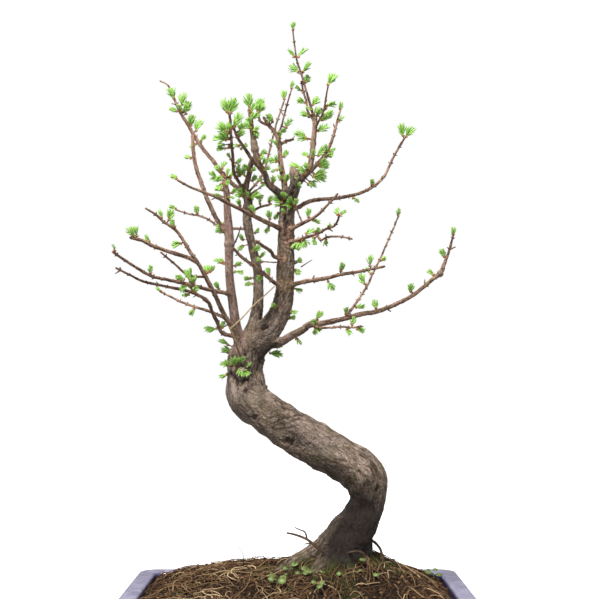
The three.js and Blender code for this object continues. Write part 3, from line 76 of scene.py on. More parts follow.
LOG = logging.getLogger("bonsai")
MM = 0.001
BODY = "root"
SEED = 1706
FULL_TURN = 2 * math.pi
GOLDEN_ANGLE = math.radians(137.5)


class Slot(Enum):
    """Material slots of the record."""

    GLAZE = "glaze"
    MESH = "mesh"
    SOIL = "soil"
    BARK = "bark"
    NEEDLES = "needles"
    SEEDLING = "seedling"


# The plant, as it stands on the front view sheet


@dataclass(frozen=True)
class Sheet:
    """The front view sheet: one sheet millimetre is one real one in the trunk's plane."""

    middle: float = 299.5
    eye_x: float = 2.0
    eye_height: float = 294.0
    eye_distance: float = 985.0
    tilt: float = math.atan(74.5 / 985)
    frame_width: float = 599.0

    def place(self, across: float, down: float, depth: float) -> Array:
        """Puts a sheet point in space.

        Args:
            across: Distance from the sheet's left edge.
            down: Distance from its top edge.
            depth: Distance behind the trunk's plane.

        Returns:
            The point, as x, y and z.
        """
        side = across - self.middle
        rise = self.middle - down
        forward = self.eye_distance * math.cos(self.tilt) - rise * math.sin(self.tilt)
        upward = self.eye_distance * math.sin(self.tilt) + rise * math.cos(self.tilt)
        scale = (depth + self.eye_distance) / forward
        return np.array([self.eye_x + side * scale, depth, self.eye_height + upward * scale])

    def seen(self, places: Array) -> Array:
        """Where the sheet shows each place, as distances across and down, one place a row."""
        across = places[:, 0] - self.eye_x
        deep = places[:, 1] + self.eye_distance
        high = places[:, 2] - self.eye_height
        forward = deep * math.cos(self.tilt) + high * math.sin(self.tilt)
        upward = high * math.cos(self.tilt) - deep * math.sin(self.tilt)
        scale = self.eye_distance / forward
        return np.column_stack([self.middle + across * scale, self.middle - upward * scale])


SHEET = Sheet()


@dataclass(frozen=True)
class Branch:
    """A branch on the sheet: where it runs, how thick it is and where its tufts stand.

    The depth is that of its tip, the bow is its bend in depth, and each tuft is the foot and the
    reach of one rosette of needles.
    """

    name: str
    parent: str | None
    depth: float
    bow: float
    widths: tuple[float, ...]
    route: tuple[Pair, ...]
    tufts: tuple[tuple[float, float, float, float], ...]


BRANCHES = (
    Branch("trunk", None, 6, -14, (64, 66, 58, 46, 38, 35, 39, 43, 41, 39, 41, 41, 40, 42, 38, 34, 35, 31,
           20), ((341, 596), (341, 572), (344, 553), (351, 535), (361, 518), (367, 502), (367.5, 491),
           (363, 477), (352, 466), (336, 456), (311, 442), (285, 425), (262, 410), (248.5, 397),
           (245.5, 383), (245, 371), (247, 358), (252, 346), (261, 333)), ((287, 446, 292, 438),
           (230, 366, 220, 364), (235, 361, 229, 354), (231, 372, 223, 376), (240, 371, 237, 380),
           (228, 345, 217, 338), (231, 350, 218, 350), (270, 353, 286, 355))),
    Branch("main_stem", "trunk", 0, -4, (24, 23, 21, 20, 19, 18, 17, 16, 16, 15), ((255, 350), (264, 335),
           (275, 321), (281, 309), (284, 296), (285, 282), (286, 242), (286.5, 227), (287, 212),
           (288, 196)), ((276, 342, 286, 339), (270, 338, 268, 329), (283, 320, 290, 318),
           (284, 311, 293, 312), (295, 270, 300, 274), (296, 262, 304, 258), (294, 247, 301, 250),
           (279, 212, 275, 218))),
    Branch("middle_stem", "trunk", 18, 6, (20, 14, 10.5, 10, 9.5, 9, 9.5, 9.5, 8), ((250, 346), (255, 325),
           (258, 300), (258, 277), (256, 263), (251.5, 244), (247, 218), (248, 199), (243, 190)),
           ((252, 284, 244, 284), (251, 278, 242, 279), (260, 257, 265, 252), (255, 233, 260, 229),
           (243, 240, 239, 234), (243, 246, 238, 250), (252, 196, 257, 190))),
    Branch("left_stem", "trunk", -20, -6, (16, 10, 9.6, 9.2, 8.6, 8.4, 10, 7.6, 7.2, 6.6, 5), ((246, 352),
           (238, 334), (235, 320), (232.5, 301), (230, 282), (229, 257), (229.5, 244), (227.5, 212),
           (227, 205), (226.5, 192), (224, 180)), ((235, 272, 245, 273), (235, 266, 243, 262),
           (224, 264, 218, 257), (222, 262, 211, 259), (223, 232, 213, 229), (224, 231, 222, 221),
           (232, 193, 238, 188), (222, 197, 211, 195), (222, 183, 217, 191))),
    Branch("left_high", "left_stem", -48, -8, (6, 2), ((233, 345), (229, 323), (222, 310), (215, 295),
           (207, 279.5), (199.5, 265.5), (189, 250), (181.5, 237.5), (175, 229.5), (164, 222), (155, 214),
           (146, 208.5)), ((222, 328, 224, 320), (207.5, 273, 206, 263), (210, 272, 215, 264),
           (181, 243.5, 169, 246), (177, 232, 172.5, 222), (169, 220, 172, 206), (162.5, 220, 159, 210))),
    Branch("left_low", "left_stem", -100, 4, (4.4, 1.8), ((232, 340), (222.5, 333), (217, 321.5),
           (212, 311.5), (208.5, 302.5), (198, 295), (189, 291.5), (163.5, 286), (142, 281), (132, 276),
           (116, 268)), ((218, 328.5, 203, 329), (192, 290, 187, 283), (189, 294.5, 180, 296))),
    Branch("left_long", "left_stem", -104, -6, (4.2, 2.4), ((227.5, 295), (210, 290), (189, 284.5),
           (164, 279), (151, 276), (142, 271), (132, 265), (123, 259), (113, 252)), ((219, 289, 214, 280),
           (194, 283, 195, 273), (190, 280, 187, 265), (184, 279.5, 173, 276), (150.5, 274, 150.5, 266),
           (115, 252, 113.5, 245))),
    Branch("left_stub", "left_high", -62, 0, (4.2, 3.2), ((199.5, 262), (189, 258), (176.5, 254),
           (164, 250), (151, 245), (142, 240.5), (131, 237.5)), ((150, 243, 145, 235), (137, 236, 136, 224),
           (134, 236, 126, 225))),
    Branch("left_inner", "left_high", -72, 0, (2.8, 1.8), ((205, 277), (188, 275), (176.5, 265.5),
           (161, 252.5)), ()),
    Branch("left_back", "left_high", 44, 4, (3.4, 2), ((225, 319), (210, 311.5), (197, 307.5), (181.5, 302),
           (171, 297), (160, 291.5)), ((194, 309, 190, 316), (162, 292, 155, 287))),
    Branch("behind_left", "middle_stem", 74, 10, (3, 1.8), ((239, 231), (220, 227), (208.5, 219.5),
           (198, 215.5), (189, 214), (176.5, 210)), ((197.5, 214, 195.5, 204), (176, 209, 168, 205))),
    Branch("outer_left", "left_stem", -8, -10, (5, 3.4), ((224.5, 235), (220, 224.5), (210, 205.5),
           (201, 182), (197, 170.5), (194.5, 160), (193.3, 150), (192.5, 136)), ((191, 158, 185, 156),)),
    Branch("top_left", "middle_stem", 52, 6, (6, 5, 4.6, 4.4, 4.2, 4, 4, 3.8, 3.6, 3.4, 3, 2.4, 2, 1.8,
           1.4), ((243, 190), (236.5, 187), (228, 179.5), (220, 170.5), (212.5, 160), (205, 151.5),
           (198.5, 142.5), (192, 132), (188, 124.5), (183, 117), (179, 110), (173, 95.5), (170.5, 89),
           (166.5, 84), (160, 81)), ((230, 178, 235, 170), (218, 180, 208, 179), (217, 178, 208, 170),
           (222, 169, 226, 160), (201, 141, 207, 133), (196, 144, 190, 148), (196, 131, 202, 116),
           (191, 127, 192, 113), (185, 112, 191, 98), (182, 105, 184.5, 89), (178, 111, 173, 97),
           (178, 111.5, 168, 108))),
    Branch("upright_left", "middle_stem", -30, -4, (3.6, 2.6), ((242, 190), (240, 184), (234, 173),
           (233, 160), (232, 147.5), (231, 135), (230.5, 122), (229.5, 115.5)), ((240, 174, 247, 167),
           (236, 163, 243, 158), (228, 148, 234, 142), (225, 148.5, 214, 149), (226, 140, 210, 137),
           (228, 134, 213, 123), (228, 133, 228, 122), (231, 113, 238, 90), (228, 113, 227.5, 97),
           (227, 112, 221, 93))),
    Branch("inner_riser", "middle_stem", 4, 0, (6, 6), ((247, 190), (249.5, 173), (251, 164), (254, 158)),
           ((248, 178, 241, 172), (252, 181, 257, 175))),
    Branch("knobby_stem", "main_stem", -18, -6, (9, 8, 7, 6.6, 6.4, 6.4, 6.6, 7.6, 5.6, 5, 4.4, 4),
           ((287, 201), (280, 194), (274, 189), (268.5, 184.5), (264.5, 173), (258.5, 164), (256, 154),
           (254.5, 147), (253, 137), (251.5, 126), (250.5, 117), (249.5, 110)), ((272, 186, 274, 177),
           (262, 183, 258, 178), (259, 156, 267, 150), (256, 131, 257, 140), (254, 118, 260, 112),
           (250, 108, 247.5, 90))),
    Branch("fork_left", "knobby_stem", -58, -4, (4.2, 2.4), ((260, 168.5), (253.5, 162), (247.5, 152.5),
           (242, 144.5), (237.5, 137.5), (233, 126)), ((241, 149, 246, 145), (239, 146, 233, 145),
           (241, 131, 240, 121), (241, 130, 249, 119), (235, 127, 241, 109))),
    Branch("crown_left", "main_stem", 30, 4, (8, 6.4, 6, 5.6, 5.4, 5, 4.6, 4.2, 3.8, 3.2), ((287, 200),
           (285.5, 191.5), (283.5, 180), (281.5, 168.5), (280, 157), (279.5, 146), (277.5, 137.5),
           (274, 131), (268.5, 125), (264, 118)), ((277, 170, 269, 172), (276, 162, 266, 158),
           (284, 157, 288, 149), (275.5, 143, 269, 140), (281, 133, 287, 128), (273, 122, 266, 112))),
    Branch("crown_side", "crown_left", 22, 0, (3, 2.2), ((268, 126), (260, 121), (258.5, 112)),
           ((258.3, 110, 262, 94),)),
    Branch("crown_stub", "crown_left", 46, 0, (3.6, 2.8), ((280, 144.5), (287, 141), (293, 139.5)), ()),
    Branch("thin_riser", "middle_stem", 62, 8, (2.6, 1.7), ((250, 193), (260.5, 178), (265, 168.5),
           (268.5, 155), (272, 141), (276, 125), (282, 107), (284, 101)), ((284.4, 99, 284.4, 88),)),
    Branch("thin_pair", "crown_left", 10, 0, (2.2, 1.5), ((279, 134), (281, 127.5), (283.5, 118),
           (287, 104.5), (291.5, 89.5)), ((286, 128, 292.5, 116), (291.5, 89, 293, 80))),
    Branch("right_fork", "main_stem", 6, -4, (10, 8.4, 7.4, 6.8, 6.4, 6, 5.8, 5.2, 5.4, 6), ((289, 200),
           (293, 189), (299.5, 181.5), (305, 174.5), (309.5, 167.5), (312, 156), (313.2, 144.5),
           (314.3, 134), (315, 124), (314.3, 117.5)), ((297, 191, 291, 198), (301, 176, 296, 171),
           (302, 168, 286, 163), (310, 157.5, 303, 153), (318, 156, 326, 145), (306, 138, 291, 129),
           (307, 139, 294, 139), (318, 131, 331, 124), (317, 117, 322, 107))),
    Branch("leader", "right_fork", 0, 2, (3, 1.4), ((314, 118), (311, 108), (308.5, 98.5), (305, 87),
           (301.5, 74), (298.5, 66), (296.5, 58.5), (295.3, 51), (294, 41), (293, 32)),
           ((311.5, 106, 320, 96), (304.5, 84, 309, 75), (303, 72, 312, 60), (298.5, 72, 286, 64),
           (298.4, 57, 309, 45), (294, 57, 288, 47), (293, 30, 294, 20))),
    Branch("leader_twin", "right_fork", 20, 0, (2.8, 1.8), ((312, 121), (308, 112), (306.5, 102),
           (303.5, 92), (301.5, 81.5)), ((308, 116, 298, 111), (306, 103, 296, 99), (302.5, 91, 296, 87))),
    Branch("tan_twig", "right_fork", -40, 0, (2.6, 1.6), ((315, 129), (318, 122.5), (322, 115),
           (324.5, 107), (326, 97), (328, 87)), ((322, 120, 334, 112), (327, 106, 338.5, 102),
           (328, 85, 337, 69))),
    Branch("right_riser", "main_stem", 66, 4, (6.4, 5.6, 5, 4.4, 4, 3.4, 2.8, 2.4, 2), ((290, 198),
           (297, 185), (307, 174.5), (317, 164.5), (324.5, 155.5), (331, 143), (335, 130), (337.5, 120),
           (340, 111)), ((308, 184, 319, 186), (313, 177, 332, 179), (320, 167, 332, 163),
           (329, 152, 335, 149), (338, 122, 345, 116), (340, 110, 342, 101))),
    Branch("split_stump", "main_stem", -10, 0, (12, 10, 9), ((292, 200), (295, 186), (293.5, 168.5)), ()),
    Branch("right_long", "main_stem", 58, 8, (4.6, 2.2), ((290, 211), (298, 207.5), (305.5, 203),
           (316, 200), (338, 198), (359, 193.5), (371, 188), (378, 183), (384.5, 176), (388.5, 168),
           (393.5, 157), (400, 145.5), (404, 139)), ((353, 198, 360, 203), (371.5, 186, 372.5, 178),
           (403, 136, 400.5, 119), (406, 137, 416.5, 124))),
    Branch("right_short", "main_stem", -48, -6, (4.4, 2), ((286, 232), (291, 229.5), (300, 224.5),
           (311, 219), (317.5, 215), (324.5, 208), (332.5, 200), (337.5, 194)), ((295, 205, 297, 197),
           (308.5, 217, 309, 206), (313, 220, 320, 223))),
    Branch("right_front", "main_stem", -84, -6, (3.8, 2), ((288, 243), (296, 240.5), (305.5, 237.5),
           (313.5, 235), (320, 232.5), (327, 228.5), (334, 226), (338, 220), (339, 216)),
           ((304, 240, 304, 250), (306, 234, 317, 228), (327, 230, 330, 225), (338, 215, 336, 208),
           (340, 216, 347, 209))),
    Branch("right_front_low", "right_front", -96, 0, (2.4, 1.7), ((317, 234), (320.5, 240), (327, 237),
           (335, 236.5), (343, 237), (352, 239)), ((314, 238, 314, 247), (326, 239, 326, 246))),
    Branch("right_middle", "main_stem", -58, -8, (5, 2.4), ((286, 288), (292, 285), (303, 282), (327, 278),
           (340.5, 274.5), (354, 272.5), (367, 270), (384, 266.5)), ((294, 288.5, 305, 292),
           (328, 281.5, 334, 293), (340.5, 271, 343.5, 260), (370, 266, 371, 252))),
    Branch("right_low", "main_stem", -34, -16, (12, 9, 8, 7.4, 7, 6.4, 5.4, 4.8, 4.4, 4.2, 4, 3.8, 3.6, 4,
           5, 3.2, 2.4, 2), ((262, 350), (280, 342), (292, 335.5), (303, 330), (309.5, 325), (320, 324),
           (340.5, 319.5), (362, 314), (375, 312), (387, 308), (400.5, 302), (412.5, 295.5), (423.5, 287),
           (434, 278), (440, 273.5), (445, 262), (449, 251), (453, 236.5)), ((296, 338, 300, 343),
           (315.5, 328, 314, 336), (317, 319, 322.5, 309), (346, 316, 346.5, 307), (376, 309, 374, 298),
           (411, 292, 411, 281), (434, 275, 429, 271), (444.5, 257, 440, 246.5),
           (453, 236.5, 453.5, 226.5))),
    Branch("low_riser", "right_low", 78, 6, (2.8, 1.7), ((343, 321), (346, 316.5), (354, 306), (362, 294),
           (368, 284.5), (372.5, 274), (380.5, 258), (387, 243), (394, 227), (398, 217)),
           ((356, 307.5, 367, 305), (365, 284, 358.5, 270), (371, 274, 364.5, 266), (380, 261, 386, 257),
           (398, 216, 400, 207))),
    Branch("low_front", "right_low", -72, -8, (2.6, 1.8), ((312, 325), (320.5, 327.5), (332, 327.5),
           (343, 326.7), (353.5, 327.5), (361, 326)), ((347, 329.5, 351, 336), (357, 329, 365, 331),
           (352, 324.5, 355, 316))),
    Branch("front_left", "main_stem", -82, -12, (5.4, 2), ((284, 230), (277, 227), (266, 222), (253, 215.5),
           (240, 209), (227.5, 203), (215, 196.5), (202, 191.5), (189, 186.5), (177.5, 180)),
           ((269, 226, 265, 234), (270, 219, 268, 208), (254, 213, 250, 203), (240, 206, 237, 197),
           (178, 180, 171, 175))),
    Branch("front_twig", "main_stem", -62, -6, (4.2, 3), ((281, 288), (277, 284.5), (266, 275.5),
           (253, 265.5), (240, 255.5), (234, 249)), ((269, 276, 268, 267), (262, 276, 256, 281))),
    Branch("front_spur", "main_stem", -50, -4, (4.2, 3), ((279, 259), (274, 256.5), (271, 251.5),
           (263, 246), (256, 241)), ()),
    Branch("inner_twig", "middle_stem", 36, 4, (3.2, 2.4), ((248, 216), (258, 208), (266, 205.5),
           (271, 204)), ((260, 204, 260, 195), (269, 202, 272, 194))),
)


# Further tufts on each branch: the foot and the tip on the sheet, and how far the tip comes forward
MORE_TUFTS = {
    "trunk": ((231, 366, 223, 361, 6), (236, 366, 232, 356, 10), (238, 364, 243, 355, 10),
        (241, 368, 240, 377, 10), (244, 370, 249, 376, 9), (246, 367, 252, 363, 9),
        (279, 346, 272, 341, 10), (277, 347, 284, 345, 10)),
    "main_stem": ((291, 204, 288, 196, 12), (292, 204, 297, 202, 13), (290, 205, 285, 207, 12),
        (282, 203, 269, 197, 4), (281, 205, 273, 205, 8), (280, 201, 276, 190, 4), (284, 214, 281, 208, 8),
        (296, 196, 296, 187, 8), (284, 199, 283, 190, 8), (277, 307, 270, 304, 7), (262, 262, 256, 258, 4)),
    "middle_stem": ((243, 197, 233, 194, 4), (243, 195, 238, 186, 4), (248, 198, 247, 190, 9),
        (250, 198, 256, 196, 9), (252, 198, 262, 191, 3), (254, 196, 266, 197, 2), (260, 188, 266, 183, 2),
        (253, 252, 262, 245, 4)),
    "left_stem": ((225, 185, 231, 180, 6), (228, 197, 236, 199, 5), (223, 190, 213, 187, 3),
        (222, 229, 216, 225, 5)),
    "top_left": ((227, 177, 229, 167, 2), (220, 172, 215, 164, 3), (223, 176, 214, 182, 4),
        (182, 112, 177, 102, 5), (184, 111, 188, 102, 6), (186, 114, 183, 106, 9)),
    "upright_left": ((237, 172, 240, 161, 4), (240, 176, 237, 167, 8), (243, 173, 246, 162, 5),
        (235, 166, 230, 158, 4), (227, 139, 218, 131, 4), (224, 145, 216, 144, 7), (228, 138, 222, 129, 7),
        (225, 131, 217, 119, 3)),
    "inner_riser": ((251, 172, 257, 166, 5), (248, 170, 243, 163, 6)),
    "knobby_stem": ((252, 124, 246, 116, 5), (252, 131, 261, 126, 5), (251, 120, 255, 111, 6),
        (252, 128, 245, 125, 5), (254, 132, 259, 136, 6), (251, 112, 256, 102, 4), (259, 160, 265, 155, 5),
        (264, 170, 272, 166, 6), (262, 164, 268, 158, 8)),
    "fork_left": ((238, 137, 245, 129, 5), (236, 132, 230, 126, 4), (234, 127, 238, 117, 6)),
    "crown_left": ((280, 139, 279, 129, 6), (278, 147, 274, 140, 4), (279, 162, 273, 155, 6),
        (282, 172, 277, 165, 7), (285, 184, 289, 173, 5), (283, 180, 277, 176, 6), (268, 124, 272, 114, 4)),
    "crown_side": ((259, 112, 265, 101, 4), (258, 112, 257, 101, 4)),
    "right_fork": ((309, 169, 303, 161, 4), (312, 158, 314, 147, 8), (299, 181, 294, 174, 8),
        (296, 187, 302, 183, 9), (305, 174, 298, 166, 5)),
    "right_riser": ((314, 175, 330, 171, 2), (316, 175, 327, 177, 7), (320, 166, 328, 157, 4),
        (328, 153, 324, 144, 4), (326, 157, 335, 153, 6), (310, 182, 320, 181, 6)),
    "leader": ((314, 114, 320, 106, 6), (312, 110, 304, 106, 5)),
    "tan_twig": ((323, 117, 336, 110, 3), (321, 120, 329, 115, 7), (324, 111, 331, 102, 4)),
    "leader_twin": ((309, 117, 302, 111, 6),),
    "right_front": ((298, 242, 291, 250, 6), (302, 240, 311, 245, 8), (311, 236, 316, 232, 7),
        (300, 242, 299, 250, 7)),
    "left_long": ((193, 283, 189, 277, 7), (190, 283, 182, 289, 5)),
    "left_low": ((193, 292, 199, 286, 6),),
    "left_stub": ((134, 237, 129, 228, 5),),
    "right_low": ((316, 325, 312, 318, 8), (316, 327, 321, 333, 8)),
}


@dataclass(frozen=True)
class Root:
    """A bare root or dead twig on the sheet: across, down and depth of its points, and its widths."""

    route: tuple[Triple, ...]
    widths: tuple[float, ...]


BARE_ROOTS = (
    Root(((350, 545, 0), (330, 558, -22), (322, 551, -30), (307, 539.5, -34), (296, 535, -36),
          (287, 533, -38)), (8, 4, 3, 2.6, 2.2, 1.8)),
    Root(((366, 538, 0), (373, 541, -4), (377.5, 545, -8), (381, 551, -12), (382.5, 561, -15),
          (382.5, 574, -16)), (6, 3, 2.6, 2.6, 2.4, 2.4)),
    Root(((352, 556, -8), (349, 553, -34), (356, 551.5, -38), (363, 553, -40), (367, 561, -42),
          (367, 583, -44)), (5, 2.2, 2, 1.9, 1.8, 1.6)),
)
FINE_ROOTS = (
    Root(((307, 539.5, -34), (305, 532, -35), (299.3, 529.6, -36), (294.8, 527.4, -37)), (2, 1.6, 1.3, 0.9)),
    Root(((312, 543, -33), (308, 543.5, -34), (303.8, 544.2, -36)), (1.8, 1.3, 0.9)),
    Root(((366, 541, -3), (369, 542.5, -6), (371.7, 543.4, -8)), (4, 3, 2.4)),
)
BUTTRESSES = ((178, 64, 21), (222, 44, 20), (275, 34, 18), (350, 20, 16), (60, 36, 16), (120, 46, 18))
BUTTRESS_PROFILE = ((0, 144), (0.45, 121), (0.8, 106), (1.05, 94), (1.25, 78))
BUTTRESS_TAPER = (0.8, 1, 0.9, 0.6, 0.3)
BUTTRESS_SHEET_FOOT = (348, 552)
BUTTRESS_INSET = 6.0

# Rounded calluses and cut ends on the wood: across, down, radius over the wood's own, paleness
KNOBS = (
    ("knobby_stem", 254.5, 149, 1.0, 0.25),
    ("knobby_stem", 252.5, 143, 0.6, 0.3),
    ("right_fork", 314.3, 119.4, 0.7, 0.1),
    ("right_fork", 313, 144, 0.7, 0.1),
    ("right_low", 439.5, 273.8, 1.2, 0.3),
    ("left_stem", 230, 244, 0.9, 0.1),
    ("left_stub", 131.5, 237.6, 0.4, 0.1),
    ("main_stem", 286.5, 227, 1.2, 0.0),
    ("middle_stem", 247.5, 208, 1.0, 0.0),
)


@dataclass(frozen=True)
class Spot:
    """A round mark on the wood's front: its place on the sheet, its radius and its strength."""

    across: float
    down: float
    radius: float
    strength: float = 1.0


@dataclass(frozen=True)
class Crease:
    """A groove in the wood's front: its route on the sheet, half its width, its depth and darkness, the
    darkness being painted shade in the groove.
    """

    route: tuple[Pair, ...]
    width: float
    depth: float
    darkness: float


# Old scars with rings of bark round them
SCARS = (
    Spot(246, 391, 8, 1.0), Spot(255, 417, 8, 1.4), Spot(289, 442, 13, 1.4), Spot(376.5, 489, 11, 1.3),
    Spot(266, 328, 6, 1.1), Spot(290, 262, 4, 1.2), Spot(287, 222, 5, 1.2), Spot(238, 384, 5, 0.7),
)
CREASES = (
    Crease(((276, 421), (290, 417.5), (305, 414)), 0.9, 0.8, 0.9),
    Crease(((271, 427.5), (286, 423), (300, 419)), 0.8, 0.7, 0.8),
    Crease(((281, 430), (291, 427), (300, 424)), 0.7, 0.5, 0.5),
    Crease(((263, 420), (275, 416)), 0.9, 0.6, 0.6),
    Crease(((231, 373), (236, 379), (242, 382), (246, 379)), 2.6, 2.0, 1.0),
    Crease(((274, 294), (271, 304), (266, 315), (262, 326)), 4.2, 3.2, 1.0),
    Crease(((276, 346), (268, 351), (262, 358), (258, 368)), 2.8, 1.8, 0.9),
    Crease(((248, 346), (244, 358), (241, 370)), 1.8, 1.1, 0.7),
    Crease(((237, 336), (242, 348), (248, 360)), 1.6, 1.0, 0.6),
    Crease(((295, 172), (294.5, 184), (292, 198)), 1.3, 1.8, 1.0),
    Crease(((286, 240), (285, 222), (283, 206)), 1.8, 1.0, 0.7),
    Crease(((350, 480), (362, 500), (366, 520)), 1.6, 0.7, 0.4),
    Crease(((312, 558), (330, 545), (342, 528)), 2.0, 1.2, 0.4),
)
# Painted shade and light on the wood's front: patches of darker bark where shade falls, and painted
# highlights of paler bark where the strength is below nought
SHADING_SPOTS = (
    Spot(300, 431, 16, -0.6), Spot(324, 446, 15, -0.6), Spot(236, 392, 12, -0.5), Spot(260, 400, 13, -0.3),
    Spot(354, 470, 12, -0.2), Spot(285, 428, 13, 0.35), Spot(345, 494, 12, 0.6), Spot(305, 462, 14, 0.35),
    Spot(330, 474, 14, 0.4), Spot(364, 508, 20, 0.9), Spot(358, 526, 21, 1.0), Spot(348, 542, 18, 1.0),
    Spot(338, 556, 20, 0.8), Spot(373, 536, 16, 0.9), Spot(356, 562, 20, 0.9), Spot(262, 352, 12, 0.4),
    Spot(246, 358, 12, 0.3), Spot(271, 300, 6, 1.0), Spot(268, 312, 7, 0.8), Spot(272, 347, 7, 0.4),
    Spot(275, 330, 10, -0.6), Spot(282, 192, 12, 0.6), Spot(246, 196, 10, 0.5), Spot(230, 330, 10, 0.5),
    Spot(277, 262, 7, 0.4), Spot(268, 182, 12, 0.5), Spot(300, 184, 10, 0.5),
    Spot(288, 205, 12, 0.5), Spot(229, 300, 9, 0.3),
)


@dataclass(frozen=True)
class Hill:
    """A smooth rise of the soil."""

    height: float
    x: float
    y: float
    along_x: float
    along_y: float

    def at(self, x: float, y: float) -> float:
        """Height of the hill over a point."""
        far = ((x - self.x) / self.along_x) ** 2 + ((y - self.y) / self.along_y) ** 2
        return self.height * math.exp(-0.5 * far)


@dataclass(frozen=True)
class Ground:
    """The top of the soil: level at the wall, heaped over the roots."""

    edge: float = 77.0
    wall_x: float = 151.0
    wall_y: float = 106.0
    wall_fade: float = 45.0
    heap: Hill = Hill(26, 4, 35, 108, 76)
    mound: Hill = Hill(28, 52, -8, 37, 30)
    lump_height: float = 1.0
    lump_length: float = 13.0
    reach: float = 125.0

    def fade(self, distance: float) -> float:
        """How much of the hills is left near the wall."""
        share = min(1.0, max(0.0, distance / self.wall_fade))
        return share * (2 - share)

    def top(self, x: float, y: float) -> float:
        """Height of the soil over a point of the table."""
        u, v = x / self.lump_length, y / self.lump_length
        lumps = math.sin(u + 1.3 * math.sin(v * 0.7)) + math.sin(v * 1.3 + 0.8 * math.sin(u * 0.6))
        fade = self.fade(self.wall_x - abs(x)) * self.fade(self.wall_y - abs(y))
        return self.edge + fade * (self.heap.at(x, y) + self.mound.at(x, y)) + self.lump_height * lumps

    def seen_at(self, across: float, down: float) -> Array:
        """The point where the line of sight through a sheet point meets the soil."""
        depth = -self.reach
        while depth < self.reach:
            point = SHEET.place(across, down, depth)
            if point[2] <= self.top(point[0], point[1]):
                return point
            depth += 1.0
        return SHEET.place(across, down, self.reach)


GROUND = Ground()


@dataclass(frozen=True)
class PotSize:
    """Sizes of the pot, as the solid has them."""

    length: float = 340.0
    width: float = 250.0
    height: float = 84.0
    notch_length: float = 41.0
    notch_width: float = 24.0
    corner: float = 16.0
    notch: float = 5.0
    lip_width: float = 19.0
    lip_height: float = 13.0
    overhang: float = 5.0
    foot_height: float = 8.0
    foot_length: float = 54.0
    foot_width: float = 36.0
    foot_inset: float = 10.0
    floor_top: float = 20.0
    lean: float = 0.03
    drain_spacing: float = 150.0
    drain_hole: float = 20.0

    def corners(self, inset: float) -> list[Triple]:
        """The plan's twelve corners at an inset, each with its rounding."""
        half_length = self.length / 2 - inset
        half_width = self.width / 2 - inset
        outer = max(self.corner - inset / 2, 6)
        found = []
        for sx, sy in ((1, 1), (-1, 1), (-1, -1), (1, -1)):
            trio = [
                (sx * half_length, sy * (half_width - self.notch_width), outer),
                (sx * (half_length - self.notch_length), sy * (half_width - self.notch_width), self.notch),
                (sx * (half_length - self.notch_length), sy * half_width, outer),
            ]
            found += trio if sx * sy > 0 else trio[::-1]
        return found

    def holds(self, x: float, y: float, inset: float) -> bool:
        """Whether a point lies inside the plan at an inset."""
        half_length = self.length / 2 - inset
        half_width = self.width / 2 - inset
        along = abs(x) < half_length and abs(y) < half_width - self.notch_width
        across = abs(x) < half_length - self.notch_length and abs(y) < half_width
        return along or across


POT = PotSize()

# Lines and frames


def centripetal(points: Array, per_span: int = 16) -> Array:
    """A smooth line through points.

    Args:
        points: The points, one a row.
        per_span: How many steps lie between two points.

    Returns:
        The line's points, one a row.
    """
    padded = np.vstack([2 * points[0] - points[1], points, 2 * points[-1] - points[-2]])
    u = np.linspace(0, 1, per_span + 1)[1:, None]
    line = [points[:1]]
    for p0, p1, p2, p3 in zip(padded, padded[1:], padded[2:], padded[3:]):
        pairs = ((p0, p1), (p1, p2), (p2, p3))
        d0, d1, d2 = (max(float(np.linalg.norm(b - a)), 1e-6) ** 0.5 for a, b in pairs)
        t1 = ((p1 - p0) / d0 - (p2 - p0) / (d0 + d1) + (p2 - p1) / d1) * d1
        t2 = ((p2 - p1) / d1 - (p3 - p1) / (d1 + d2) + (p3 - p2) / d2) * d1
        line.append(
            p1 * (2 * u**3 - 3 * u**2 + 1) + t1 * (u**3 - 2 * u**2 + u)
            + p2 * (3 * u**2 - 2 * u**3) + t2 * (u**3 - u**2)
        )
    return np.vstack(line)


class Limb:
    """A limb of wood, a fibre or a stalk: a smooth centre line with a radius and a frame along it."""

    def __init__(self, name: str, points: Iterable[Sequence[float]], widths: Sequence[float],
                 step: float = 1.0) -> None:
        """Lays the limb.

        Args:
            name: What the limb is called.
            points: The points that its centre line runs through.
            widths: Its thickness at each point, or at its two ends.
            step: Distance between its samples.
        """
        through = np.array([list(point) for point in points], float)
        dense = centripetal(through)
        run = np.concatenate([[0], np.cumsum(np.linalg.norm(np.diff(dense, axis=0), axis=1))])
        self.name = name
        self.length = float(run[-1])
        count = max(4, round(self.length / step))
        at = np.linspace(0, self.length, count + 1)
        self.step = self.length / count
        self.shares = at / self.length
        self.centres = np.column_stack([np.interp(at, run, dense[:, k]) for k in range(3)])
        chords = np.linalg.norm(np.diff(through, axis=0), axis=1)
        stations = np.concatenate([[0], np.cumsum(chords)]) / chords.sum()
        if len(widths) != len(through):
            stations = np.array([0, 1])
        self.radii = np.interp(self.shares, stations, widths) / 2
        tangents = np.gradient(self.centres, axis=0)
        self.tangents = tangents / np.linalg.norm(tangents, axis=1)[:, None]
        self.normals = np.zeros_like(self.centres)
        normal = np.array([0.0, 1, 0]) if abs(self.tangents[0][1]) < 0.9 else np.array([1.0, 0, 0])
        for i, tangent in enumerate(self.tangents):
            normal = normal - tangent * float(normal @ tangent)
            normal = normal / np.linalg.norm(normal)
            self.normals[i] = normal
        self.binormals = np.cross(self.normals, self.tangents)

    def nearest(self, point: Array) -> int:
        """The sample nearest to a point."""
        return int(np.argmin(np.linalg.norm(self.centres - point, axis=1)))

    def nearest_on_sheet(self, across: float, down: float) -> int:
        """The sample that a sheet point lies nearest to, at that sample's own depth."""
        there = np.array([SHEET.place(across, down, depth) for depth in self.centres[:, 1]])
        return int(np.argmin(np.linalg.norm(self.centres - there, axis=1)))


Relief = Callable[[float, float], float]


